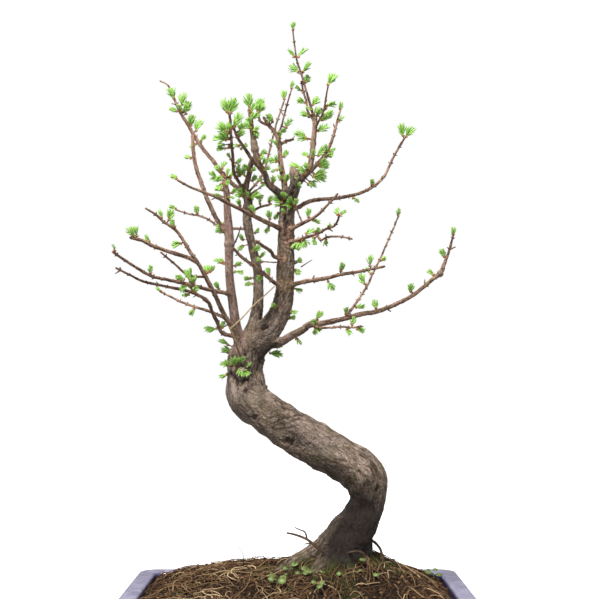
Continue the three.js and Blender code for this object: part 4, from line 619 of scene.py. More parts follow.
def sweep(
    bm: BMesh,
    limb: Limb,
    sides: int,
    spacing: float,
    relief: Relief | None = None,
    span: tuple[int, int] | None = None,
    round_end: float = 0.5,
) -> list[BMVert]:
    """Carries a ring along a limb and closes its ends.

    Args:
        bm: The mesh to add to.
        limb: The limb to follow.
        sides: How many corners the ring has.
        spacing: Distance between rings.
        relief: Radius as a share of the limb's own, by share of the length and angle.
        span: First and last sample, or the whole limb.
        round_end: How far the end is rounded out, as a share of its radius.

    Returns:
        The vertices that were added.
    """
    first, last = span or (0, len(limb.centres) - 1)
    steps = max(2, round((last - first) * limb.step / spacing))
    stations = [int(round(first + (last - first) * k / steps)) for k in range(steps + 1)]
    stops = [(i, 0.0, 1.0) for i in dict.fromkeys(stations)] + [(last, round_end, 0.6)]
    ring = bmesh.ops.create_circle(bm, cap_ends=True, segments=sides, radius=1.0)["verts"]
    angles = {vertex: math.atan2(vertex.co.y, vertex.co.x) for vertex in ring}
    edges = list(dict.fromkeys(edge for vertex in ring for edge in vertex.link_edges))
    made = list(ring)
    for number, (i, beyond, shrink) in enumerate(stops):
        if number:
            out = bmesh.ops.extrude_edge_only(bm, edges=edges)["geom"]
            fresh = [item for item in out if isinstance(item, BMVert)]
            angles = {
                vertex: next(angles[edge.other_vert(vertex)] for edge in vertex.link_edges
                             if edge.other_vert(vertex) in angles)
                for vertex in fresh
            }
            edges = [item for item in out if isinstance(item, BMEdge)
                     and all(vertex in angles for vertex in item.verts)]
            made += fresh
        radius = limb.radii[i] * shrink
        centre = limb.centres[i] + limb.tangents[i] * limb.radii[i] * beyond
        for vertex, angle in angles.items():
            own = radius * (relief(limb.shares[i], angle) if relief else 1.0)
            away = math.cos(angle) * limb.normals[i] + math.sin(angle) * limb.binormals[i]
            vertex.co = centre + away * own
    bmesh.ops.contextual_create(bm, geom=edges)
    return made


def finish_piece(
    source: BMesh | Mesh,
    name: str,
    material: Material,
    replaced: Sequence[str] = (),
    smooth: bool = True,
) -> bpy.types.Object:
    """Makes a mesh a piece of the model, in metres.

    Args:
        source: The mesh, in millimetres.
        name: The piece's name.
        material: Its finish.
        replaced: The nodes that it stands for.
        smooth: Whether its faces are shaded smooth.

    Returns:
        The piece.
    """
    if isinstance(source, BMesh):
        mesh = bpy.data.meshes.new(name)
        bmesh.ops.recalc_face_normals(source, faces=source.faces)
        source.to_mesh(mesh)
        source.free()
    else:
        mesh = source
        mesh.name = name
    mesh.transform(Matrix.Scale(MM, 4))
    mesh.polygons.foreach_set("use_smooth", [smooth] * len(mesh.polygons))
    mesh.materials.clear()
    mesh.materials.append(material)
    piece = bpy.data.objects.new(name, mesh)
    link(piece)
    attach(piece, BODY)
    if replaced:
        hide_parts(*replaced)
    LOG.info("%s: %d faces", name, len(mesh.polygons))
    return piece


def link(item: bpy.types.Object) -> None:
    """Puts an object in the scene."""
    bpy.context.scene.collection.objects.link(item)


def put_numbers(mesh: Mesh, name: str, values: Array) -> None:
    """Keeps a number at each vertex of a mesh."""
    layer = mesh.attributes.new(name, "FLOAT", "POINT")
    layer.data.foreach_set("value", np.asarray(values, np.float32))


def put_vectors(mesh: Mesh, name: str, values: Array) -> None:
    """Keeps a vector at each vertex of a mesh."""
    layer = mesh.attributes.new(name, "FLOAT_VECTOR", "POINT")
    layer.data.foreach_set("vector", np.asarray(values, np.float32).ravel())


def read_places(mesh: Mesh) -> Array:
    """Places of a mesh's vertices, one a row."""
    flat = np.zeros(len(mesh.vertices) * 3, np.float32)
    mesh.vertices.foreach_get("co", flat)
    return flat.reshape(-1, 3).astype(float)


def read_normals(mesh: Mesh) -> Array:
    """Outward directions at a mesh's vertices, one a row."""
    flat = np.zeros(len(mesh.vertices) * 3, np.float32)
    mesh.vertex_normals.foreach_get("vector", flat)
    return flat.reshape(-1, 3).astype(float)


@dataclass(frozen=True)
class Shape:
    """A small closed shape: its vertices, its faces' corners and how many corners each face has."""

    places: Array
    corners: Array
    sizes: Array

    @classmethod
    def take(cls, bm: BMesh) -> "Shape":
        """Takes the shape that a mesh holds, and frees the mesh."""
        bmesh.ops.recalc_face_normals(bm, faces=bm.faces)
        bm.verts.index_update()
        shape = cls(
            np.array([vertex.co for vertex in bm.verts]),
            np.array([loop.vert.index for face in bm.faces for loop in face.loops]),
            np.array([len(face.loops) for face in bm.faces]),
        )
        bm.free()
        return shape

    @classmethod
    def bar(cls, limb: Limb, sides: int, spacing: float, **options: object) -> "Shape":
        """Takes the bar that follows a limb."""
        bm = bmesh.new()
        sweep(bm, limb, sides, spacing, **options)
        return cls.take(bm)


class Crowd:
    """Many small shapes gathered into one mesh, each with numbers of its own."""

    def __init__(self, *names: str) -> None:
        """Starts an empty crowd whose shapes keep the named numbers."""
        self.places: list[Array] = []
        self.corners: list[Array] = []
        self.sizes: list[Array] = []
        self.numbers: dict[str, list[Array]] = {name: [] for name in names}
        self.count = 0

    def add(self, shape: Shape, matrix: Matrix | None = None, **numbers: float | Array) -> None:
        """Adds a copy of a shape.

        Args:
            shape: The shape.
            matrix: Where it goes, or nothing for where it is.
            **numbers: For each of the crowd's names, one number or one for each vertex.
        """
        places = shape.places
        if matrix:
            turn = np.array(matrix)
            places = places @ turn[:3, :3].T + turn[:3, 3]
        self.places.append(places)
        self.corners.append(shape.corners + self.count)
        self.sizes.append(shape.sizes)
        for name, kept in self.numbers.items():
            kept.append(np.broadcast_to(numbers.get(name, 0.0), len(places)))
        self.count += len(places)

    def mesh(self, name: str) -> Mesh:
        """Gathers the crowd into a mesh."""
        mesh = bpy.data.meshes.new(name)
        corners = np.concatenate(self.corners)
        sizes = np.concatenate(self.sizes)
        mesh.vertices.add(self.count)
        mesh.vertices.foreach_set("co", np.vstack(self.places).astype(np.float32).ravel())
        mesh.loops.add(len(corners))
        mesh.loops.foreach_set("vertex_index", corners.astype(np.int32))
        mesh.polygons.add(len(sizes))
        mesh.polygons.foreach_set("loop_start", (np.cumsum(sizes) - sizes).astype(np.int32))
        mesh.update(calc_edges=True)
        for layer, kept in self.numbers.items():
            put_numbers(mesh, layer, np.concatenate(kept))
        return mesh


def steady_numbers(seed: int) -> Iterator[float]:
    """The seeded numbers from 0 to 1 that lean the rosettes, as the solids have them."""
    whole = 0xFFFFFFFF
    state = seed
    while True:
        state = (state + 0x6D2B79F5) & whole
        mixed = ((state ^ (state >> 15)) * (1 | state)) & whole
        mixed = ((mixed + (((mixed ^ (mixed >> 7)) * (61 | mixed)) & whole)) & whole) ^ mixed
        yield ((mixed ^ (mixed >> 14)) & whole) / (whole + 1)


# Finishes


def linear(colour: Colour) -> tuple[float, float, float, float]:
    """A colour on the scale 0 to 255, as the shader wants it."""
    parts = [value / 255 for value in colour]
    straight = [part / 12.92 if part <= 0.04045 else ((part + 0.055) / 1.055) ** 2.4 for part in parts]
    return straight[0], straight[1], straight[2], 1.0


class Paint:
    """A node material under construction."""

    def __init__(self, name: str) -> None:
        """Starts a material with its usual shader."""
        self.material = bpy.data.materials.new(name)
        self.material.use_nodes = True
        self.tree = self.material.node_tree
        self.shader = self.tree.nodes["Principled BSDF"]

    def node(self, kind: str, inputs: dict[str | int, object], **settings: object) -> bpy.types.Node:
        """Adds a node.

        Args:
            kind: The node's type, without its usual start.
            inputs: A value or a socket for each input that is set.
            **settings: The node's own settings.

        Returns:
            The node.
        """
        made = self.tree.nodes.new("ShaderNode" + kind)
        for key, value in settings.items():
            setattr(made, key, value)
        for key, value in inputs.items():
            if isinstance(value, Socket):
                self.tree.links.new(value, made.inputs[key])
            else:
                made.inputs[key].default_value = value
        return made

    def set(self, **values: object) -> None:
        """Sets or links inputs of the shader, an underscore standing for a space in a name."""
        for key, value in values.items():
            socket = self.shader.inputs[key.replace("_", " ")]
            if isinstance(value, Socket):
                self.tree.links.new(value, socket)
            else:
                socket.default_value = value

    def place(self, scale: Triple = (1, 1, 1), attribute: str | None = None) -> Socket:
        """Coordinates of a point, from the object or from an attribute, stretched by a scale."""
        if attribute:
            source = self.node("Attribute", {}, attribute_name=attribute).outputs["Vector"]
        else:
            source = self.node("TexCoord", {}).outputs["Object"]
        return self.node("Mapping", {"Vector": source, "Scale": scale}).outputs["Vector"]

    def mask(self, name: str) -> Socket:
        """A number that the piece keeps at each vertex."""
        return self.node("Attribute", {}, attribute_name=name).outputs["Fac"]

    def noise(self, vector: Socket, scale: float, detail: float = 3.0, rough: float = 0.5,
              warp: float = 0.0) -> Socket:
        """Soft noise."""
        values = {"Vector": vector, "Scale": scale, "Detail": detail, "Roughness": rough, "Distortion": warp}
        return self.node("TexNoise", values).outputs["Fac"]

    def cells(self, vector: Socket, scale: float) -> Socket:
        """Distance within cells."""
        return self.node("TexVoronoi", {"Vector": vector, "Scale": scale}).outputs["Distance"]

    def ramp(self, factor: Socket, *stops: tuple[float, Colour]) -> Socket:
        """A run of colours."""
        made = self.node("ValToRGB", {"Fac": factor})
        elements = made.color_ramp.elements
        while len(elements) < len(stops):
            elements.new(1.0)
        for element, (position, colour) in zip(elements, stops):
            element.position = position
            element.color = linear(colour)
        return made.outputs["Color"]

    def span(self, factor: Socket, low: float, high: float, start: float = 0.0, end: float = 1.0) -> Socket:
        """A number carried from one range to another, held at both ends."""
        values = {"Value": factor, "From Min": low, "From Max": high, "To Min": start, "To Max": end}
        return self.node("MapRange", values).outputs["Result"]

    def blend(self, factor: Socket | float, first: Socket | Colour, second: Socket | Colour) -> Socket:
        """A blend of two colours."""
        sides = [side if isinstance(side, Socket) else linear(side) for side in (first, second)]
        made = self.node("Mix", {0: factor, 6: sides[0], 7: sides[1]}, data_type="RGBA")
        return made.outputs[2]

    def sum(self, operation: str, first: Socket | float, second: Socket | float) -> Socket:
        """Arithmetic on two numbers."""
        return self.node("Math", {0: first, 1: second}, operation=operation).outputs[0]

    def bump(self, height: Socket, distance: float, strength: float = 1.0) -> None:
        """Raises the surface by a height, in metres."""
        values = {"Height": height, "Distance": distance, "Strength": strength}
        self.set(Normal=self.node("Bump", values).outputs["Normal"])


@dataclass(frozen=True)
class BarkFinish:
    """Bark: fissured grey-brown on old wood, smooth and reddish on young wood, pale at calluses, with painted
    shade in the crevices and on shaded patches and painted highlights on lit ones.
    """

    # Dark bark of cracks and random specks; also the painted shade in crevices
    crack: Colour = (46, 34, 28)
    # Dark brown of the painted shade, laid on the shaded patches and on the bare roots
    painted_shade: Colour = (32, 25, 24)
    brown: Colour = (78, 61, 48)
    grey: Colour = (146, 126, 107)
    pink: Colour = (200, 178, 163)
    # Pale young bark; also the colour of the painted highlights
    light: Colour = (196, 176, 164)
    red_brown: Colour = (188, 144, 128)
    twig: Colour = (200, 160, 134)
    twig_red: Colour = (112, 76, 62)
    callus: Colour = (204, 178, 152)
    algae: Colour = (112, 106, 66)
    moss: Colour = (72, 82, 34)
    grain: float = 900.0

    def material(self) -> Material:
        """Builds the bark."""
        paint = Paint("bark")
        along = paint.place((1, 1, 0.22), "grain")
        flat = paint.place((1, 1, 1), "grain")
        broad = paint.noise(flat, 60, 4, 0.6)
        fine = paint.noise(along, self.grain, 6, 0.65, 0.3)
        plates = paint.noise(paint.place((1, 1, 0.4), "grain"), 290, 6, 0.72, 0.8)
        old = paint.ramp(plates, (0.37, self.brown), (0.49, self.grey), (0.6, self.pink))
        old = paint.blend(paint.span(broad, 0.42, 0.6, 0, 0.6), old, paint.blend(0.6, old, self.brown))
        young = paint.ramp(fine, (0.3, self.red_brown), (0.7, self.light))
        young = paint.blend(paint.span(plates, 0.42, 0.54, 0.5, 0), young, self.twig_red)
        twig = paint.ramp(paint.noise(along, 420, 4), (0.38, self.twig_red), (0.6, self.twig))
        colour = paint.blend(paint.mask("smooth"), old, young)
        colour = paint.blend(paint.mask("young"), colour, twig)
        colour = paint.blend(paint.span(paint.noise(flat, 45, 3), 0.5, 0.66, 0, 0.5), colour, self.algae)
        # Painted shade: the shaded patches of thick wood, and the bare roots, darkened towards the dark brown
        colour = paint.blend(paint.span(paint.mask("stain"), 0, 1, 0, 0.94), colour, self.painted_shade)
        # Painted highlights: paler bark where the mask is below nought
        colour = paint.blend(paint.span(paint.mask("stain"), -1, 0, 0.55, 0), colour, self.light)
        speckle = paint.span(paint.noise(flat, 560, 4, 0.65, 0.4), 0.38, 0.49, 0.9, 0)
        colour = paint.blend(speckle, colour, paint.blend(0.6, colour, self.crack))
        # Painted shade in cracks, creases, scar hollows and dips, partly the bark's own darker fissures
        colour = paint.blend(paint.mask("crevice"), colour, self.crack)
        colour = paint.blend(paint.mask("pale"), colour, self.callus)
        moss = paint.sum("MULTIPLY", paint.mask("moss"), paint.span(paint.noise(flat, 220, 4), 0.42, 0.58))
        colour = paint.blend(moss, colour, self.moss)
        paint.set(Base_Color=colour, Roughness=paint.span(fine, 0, 1, 0.95, 0.7))
        paint.set(Specular_IOR_Level=0.25)
        paint.bump(paint.sum("ADD", fine, paint.sum("MULTIPLY", plates, 2.0)), 0.0018)
        return paint.material


@dataclass(frozen=True)
class NeedleFinish:
    """Young needles: yellow-green at the foot, fresh green along, a little lighter at the tip."""

    foot: Colour = (198, 218, 110)
    middle: Colour = (130, 192, 68)
    tip: Colour = (172, 218, 112)
    shade: Colour = (80, 144, 46)

    def material(self) -> Material:
        """Builds the needles' finish."""
        paint = Paint("needles")
        along = paint.ramp(paint.mask("along"), (0, self.foot), (0.35, self.middle), (1, self.tip))
        colour = paint.blend(paint.span(paint.mask("tone"), 0, 1, 0, 0.75), along, self.shade)
        patch = paint.noise(paint.place(), 500, 2)
        colour = paint.blend(paint.span(patch, 0.4, 0.7, 0, 0.25), colour, self.foot)
        paint.set(Base_Color=colour, Roughness=0.42)
        paint.set(Subsurface_Weight=0.25)
        paint.set(Subsurface_Radius=(0.001, 0.0014, 0.0004))
        paint.set(Subsurface_Scale=1.0)
        return paint.material


@dataclass(frozen=True)
class ScaleFinish:
    """Bud scales: dry orange-brown."""

    dark: Colour = (150, 92, 44)
    light: Colour = (214, 152, 84)

    def material(self) -> Material:
        """Builds the scales' finish."""
        paint = Paint("bud_scale")
        colour = paint.ramp(paint.noise(paint.place(), 700, 3), (0.35, self.dark), (0.65, self.light))
        paint.set(Base_Color=colour, Roughness=0.6)
        return paint.material


@dataclass(frozen=True)
class GlazeFinish:
    """Glaze: pale lavender blue, running to deep cobalt inside the lip and in the corners."""

    pale: Colour = (164, 160, 188)
    blue: Colour = (100, 94, 128)
    cobalt: Colour = (44, 42, 88)
    clay: Colour = (120, 82, 60)

    def material(self) -> Material:
        """Builds the glaze."""
        paint = Paint("glaze")
        place = paint.place()
        cloud = paint.noise(place, 26, 5, 0.6, 0.8)
        colour = paint.ramp(cloud, (0.3, self.blue), (0.6, self.pale))
        runs = paint.noise(paint.place((1, 1, 0.12)), 240, 4, 0.6, 0.4)
        colour = paint.blend(paint.span(runs, 0.5, 0.75, 0, 0.5), colour, self.blue)
        specks = paint.cells(place, 900)
        colour = paint.blend(paint.span(specks, 0.0, 0.16, 0.5, 0), colour, self.cobalt)
        colour = paint.blend(paint.mask("inside"), colour, self.cobalt)
        colour = paint.blend(paint.mask("bare"), colour, self.clay)
        paint.set(Base_Color=colour, Roughness=paint.span(paint.mask("bare"), 0, 1, 0.16, 0.8))
        paint.set(Coat_Weight=0.5)
        paint.set(Coat_Roughness=0.06)
        paint.bump(paint.sum("ADD", cloud, paint.sum("MULTIPLY", runs, 0.3)), 0.0006, 0.5)
        return paint.material


@dataclass(frozen=True)
class SoilFinish:
    """Soil: dark brown, with lighter dry patches."""

    dark: Colour = (26, 20, 16)
    brown: Colour = (52, 39, 29)
    dry: Colour = (84, 64, 47)

    def material(self) -> Material:
        """Builds the soil's finish."""
        paint = Paint("soil")
        place = paint.place()
        grit = paint.noise(place, 620, 5, 0.7)
        colour = paint.ramp(grit, (0.32, self.dark), (0.55, self.brown), (0.72, self.dry))
        colour = paint.blend(paint.span(paint.noise(place, 70, 3), 0.4, 0.6, 0, 0.6), colour, self.dark)
        paint.set(Base_Color=colour, Roughness=0.95)
        paint.set(Specular_IOR_Level=0.15)
        paint.bump(grit, 0.0016)
        return paint.material


@dataclass(frozen=True)
class LitterFinish:
    """Dead fibres and crumbs on the soil, each with its own shade from dark to straw."""

    name: str = "fibre"
    dark: Colour = (34, 25, 19)
    orange: Colour = (92, 66, 45)
    tan: Colour = (138, 108, 76)
    straw: Colour = (200, 174, 134)

    def material(self) -> Material:
        """Builds the litter's finish."""
        paint = Paint(self.name)
        stops = ((0, self.dark), (0.4, self.orange), (0.75, self.tan), (1, self.straw))
        colour = paint.ramp(paint.mask("tone"), *stops)
        worn = paint.noise(paint.place(), 480, 3)
        colour = paint.blend(paint.span(worn, 0.45, 0.7, 0, 0.45), colour, self.dark)
        paint.set(Base_Color=colour, Roughness=0.85)
        paint.set(Specular_IOR_Level=0.2)
        return paint.material


@dataclass(frozen=True)
class LeafFinish:
    """Moss and seedling leaves."""

    name: str
    dark: Colour
    light: Colour
    rough: float = 0.6

    def material(self) -> Material:
        """Builds the leaf's finish."""
        paint = Paint(self.name)
        colour = paint.ramp(paint.noise(paint.place(), 260, 4), (0.35, self.dark), (0.68, self.light))
        colour = paint.blend(paint.span(paint.mask("tone"), 0, 1, 0, 0.6), colour, self.dark)
        paint.set(Base_Color=colour, Roughness=self.rough)
        return paint.material


@dataclass(frozen=True)
class MeshFinish:
    """Black plastic of the drain meshes."""

    black: Colour = (34, 34, 38)
    worn: Colour = (70, 68, 66)

    def material(self) -> Material:
        """Builds the plastic."""
        paint = Paint("mesh_plastic")
        scuff = paint.noise(paint.place(), 380, 4, 0.6)
        paint.set(Base_Color=paint.ramp(scuff, (0.45, self.black), (0.8, self.worn)), Roughness=0.55)
        paint.bump(scuff, 0.0003)
        return paint.material


# The plant


@dataclass
class Rosette:
    """A tuft of needles: the branch it grows from, its foot, and the axis that it opens along."""

    branch: str
    centre: Array
    foot: Array
    axis: Array
    reach: float


@dataclass
class Skeleton:
    """Centre lines of the wood and places of the rosettes."""

    lean: float = 12.0
    shortest: float = 9.5
    step: float = 0.4
    furthest: float = 16.0
    clearance: float = 0.5
    limbs: dict[str, Limb] = field(default_factory=dict)
    roots: list[Limb] = field(default_factory=list)
    rosettes: list[Rosette] = field(default_factory=list)

    def lay(self) -> None:
        """Lays the branches, the roots and the rosettes."""
        for branch in BRANCHES:
            self.limbs[branch.name] = self.lay_branch(branch)
        for bearing, reach, width in BUTTRESSES:
            self.roots.append(self.lay_buttress(math.radians(bearing), reach, width))
        for root in (*BARE_ROOTS, *FINE_ROOTS):
            self.roots.append(Limb("root", [SHEET.place(*point) for point in root.route], root.widths))
        leans = steady_numbers(SEED)
        for branch in BRANCHES:
            for tuft in branch.tufts:
                self.rosettes.append(self.lay_rosette(branch.name, tuft, (next(leans) - 0.5) * self.lean))
        for name, tufts in MORE_TUFTS.items():
            for *tuft, forward in tufts:
                self.rosettes.append(self.lay_rosette(name, tuft, -forward, self.limbs[name]))

    def lay_branch(self, branch: Branch) -> Limb:
        """Lays a branch from its parent's centre line outwards."""
        route = np.array(branch.route, float)
        chords = np.linalg.norm(np.diff(route, axis=0), axis=1)
        shares = np.concatenate([[0], np.cumsum(chords)]) / chords.sum()
        parent = self.limbs.get(branch.parent or "")
        start = 0.0
        if parent:
            root = parent.centres[parent.nearest_on_sheet(*branch.route[0])]
            start = float(root[1])
        depths = start + (branch.depth - start) * shares + branch.bow * np.sin(math.pi * shares)
        points = [SHEET.place(across, down, depth) for (across, down), depth in zip(branch.route, depths)]
        if parent:
            points[0] = root
        return Limb(branch.name, points, branch.widths)

    def lay_buttress(self, bearing: float, reach: float, width: float) -> Limb:
        """Lays a buttress root from the trunk's foot down into the soil."""
        trunk = self.limbs["trunk"]
        foot = trunk.centres[trunk.nearest(SHEET.place(*BUTTRESS_SHEET_FOOT, 0))]
        points = [
            (foot[0] + BUTTRESS_INSET * (1 - share) + math.cos(bearing) * reach * share,
             foot[1] + math.sin(bearing) * reach * share, height)
            for share, height in BUTTRESS_PROFILE
        ]
        return Limb("buttress", points, [width * share for share in BUTTRESS_TAPER])

    def lay_rosette(self, name: str, tuft: Sequence[float], lean: float,
                    before: Limb | None = None) -> Rosette:
        """Lays a rosette from its branch to where it reaches on the sheet.

        Args:
            name: The branch.
            tuft: The foot and the tip, across and down.
            lean: How far the tip lies behind the foot.
            before: The limb that the foot is set in front of, if any.

        Returns:
            The rosette.
        """
        limb = self.limbs[name]
        nearest = limb.nearest_on_sheet(tuft[0], tuft[1])
        depth = float(limb.centres[nearest][1])
        if before:
            flat = np.linalg.norm((limb.centres[nearest] - SHEET.place(tuft[0], tuft[1], depth))[[0, 2]])
            clear = float(limb.radii[nearest]) + self.clearance
            depth -= math.sqrt(max(0.0, clear**2 - float(flat) ** 2))
        foot = SHEET.place(tuft[0], tuft[1], depth)
        tip = SHEET.place(tuft[2], tuft[3], depth + lean)
        reach = float(np.linalg.norm(tip - foot))
        axis = (tip - foot) / reach
        nearest = limb.nearest(foot)
        centre = limb.centres[nearest]
        moved = 0.0
        while moved < self.furthest:
            if np.linalg.norm(foot - limb.centres[nearest]) >= limb.radii[nearest] + self.clearance:
                break
            foot = foot + axis * self.step
            moved += self.step
            nearest = limb.nearest(foot)
        return Rosette(name, centre, foot, axis, max(reach, self.shortest))


@dataclass
class Grain:
    """Coordinates that follow the wood's grain, and the masks that the bark is painted by."""

    limbs: list[Limb]
    neighbours: int = 8
    smooth_limbs: tuple[str, ...] = ("left_stem",)
    thick: float = 5.0
    thin: float = 1.6
    moss_height: float = 9.0
    run_gap: float = 400.0
    # How much the bare roots are darkened, towards the painted shade's colour
    bare_darkening: float = 0.6

    def __post_init__(self) -> None:
        """Gathers the limbs' samples."""
        self.centres = np.vstack([limb.centres for limb in self.limbs])
        self.tangents = np.vstack([limb.tangents for limb in self.limbs])
        self.normals = np.vstack([limb.normals for limb in self.limbs])
        self.binormals = np.vstack([limb.binormals for limb in self.limbs])
        self.radii = np.concatenate([limb.radii for limb in self.limbs])
        self.runs = np.concatenate([
            np.linspace(0, limb.length, len(limb.centres)) + self.run_gap * i
            for i, limb in enumerate(self.limbs)
        ])
        counts = [len(limb.centres) for limb in self.limbs]
        self.smooth = np.repeat([float(limb.name in self.smooth_limbs) for limb in self.limbs], counts)
        self.bare = np.repeat([float(limb.name == "root") for limb in self.limbs], counts)
        self.tree = KDTree(len(self.centres))
        for i, centre in enumerate(self.centres):
            self.tree.insert(centre, i)
        self.tree.balance()

    def read(self, places: Array) -> tuple[Array, Array]:
        """Finds the sample that each place belongs to, and its coordinates along the grain.

        Args:
            places: Points on the wood, one a row.

        Returns:
            The samples, and for each place its position as if its limb were straight.
        """
        found = np.array([[i for _, i, _ in self.tree.find_n(place, self.neighbours)] for place in places])
        offsets = places[:, None, :] - self.centres[found]
        share = np.linalg.norm(offsets, axis=2) / self.radii[found]
        pick = share.argmin(axis=1)
        row = np.arange(len(places))
        sample = found[row, pick]
        offset = offsets[row, pick]
        along = self.runs[sample] + (offset * self.tangents[sample]).sum(axis=1)
        side = (offset * self.normals[sample]).sum(axis=1)
        other = (offset * self.binormals[sample]).sum(axis=1)
        return sample, np.column_stack([side, other, along])

    def paint(self, mesh: Mesh, places: Array, sample: Array, straight: Array,
              crevice: Array) -> None:
        """Writes the grain and the masks to a mesh."""
        put_vectors(mesh, "grain", straight * MM)
        put_numbers(mesh, "crevice", crevice)
        put_numbers(mesh, "smooth", self.smooth[sample])
        young = (self.thick - self.radii[sample]) / (self.thick - self.thin)
        put_numbers(mesh, "young", np.clip(young, 0, 1))
        ground = np.array([GROUND.top(x, y) for x, y, _ in places])
        put_numbers(mesh, "moss", np.clip(1 - (places[:, 2] - ground) / self.moss_height, 0, 1))
        put_numbers(mesh, "pale", self.pale(places))
        # Painted shade and highlights on the thick wood's front, and a fixed darkening of the bare roots
        stain = self.stain(places) * (self.radii[sample] > self.thick - 1.5)
        put_numbers(mesh, "stain", stain + self.bare_darkening * self.bare[sample])

    def pale(self, places: Array) -> Array:
        """How pale each place is: the calluses and cut ends."""
        mask = np.zeros(len(places))
        for name, across, down, growth, paleness in KNOBS:
            centre, radius = knob_place(self.limbs, name, across, down, growth)
            near = np.linalg.norm(places - centre, axis=1) / (radius + 1.2)
            mask = np.maximum(mask, paleness * np.clip((1.1 - near) * 3, 0, 1))
        stump = next(limb for limb in self.limbs if limb.name == "split_stump")
        cut = np.linalg.norm(places - stump.centres[-1], axis=1)
        return np.maximum(mask, np.clip((13 - cut) / 8, 0, 0.7))

    def stain(self, places: Array) -> Array:
        """Painted shade: how much darker each place is, or, below nought, how much paler as a painted
        highlight.
        """
        seen = SHEET.seen(places)
        mask = np.zeros(len(places))
        for spot in SHADING_SPOTS:
            far = np.hypot(seen[:, 0] - spot.across, seen[:, 1] - spot.down) / spot.radius
            mask += spot.strength * np.exp(-(far**2))
        return np.clip(mask, -1, 1)


def knob_place(limbs: Iterable[Limb], name: str, across: float, down: float,
               growth: float) -> tuple[Array, float]:
    """Centre and radius of a callus on a limb."""
    limb = next(item for item in limbs if item.name == name)
    i = limb.nearest_on_sheet(across, down)
    return limb.centres[i], float(limb.radii[i] + growth)


def trunk_relief(share: float, angle: float) -> float:
    """The trunk's broad ropes and old scars, as the solid has them."""
    ropes = 0.06 * math.sin(4 * angle + 16 * share) + 0.03 * math.sin(5 * angle - 23 * share + 1)
    scars = 0.05 * math.sin(3 * angle + 60 * share) * math.sin(41 * share)
    return 1 + ropes + scars


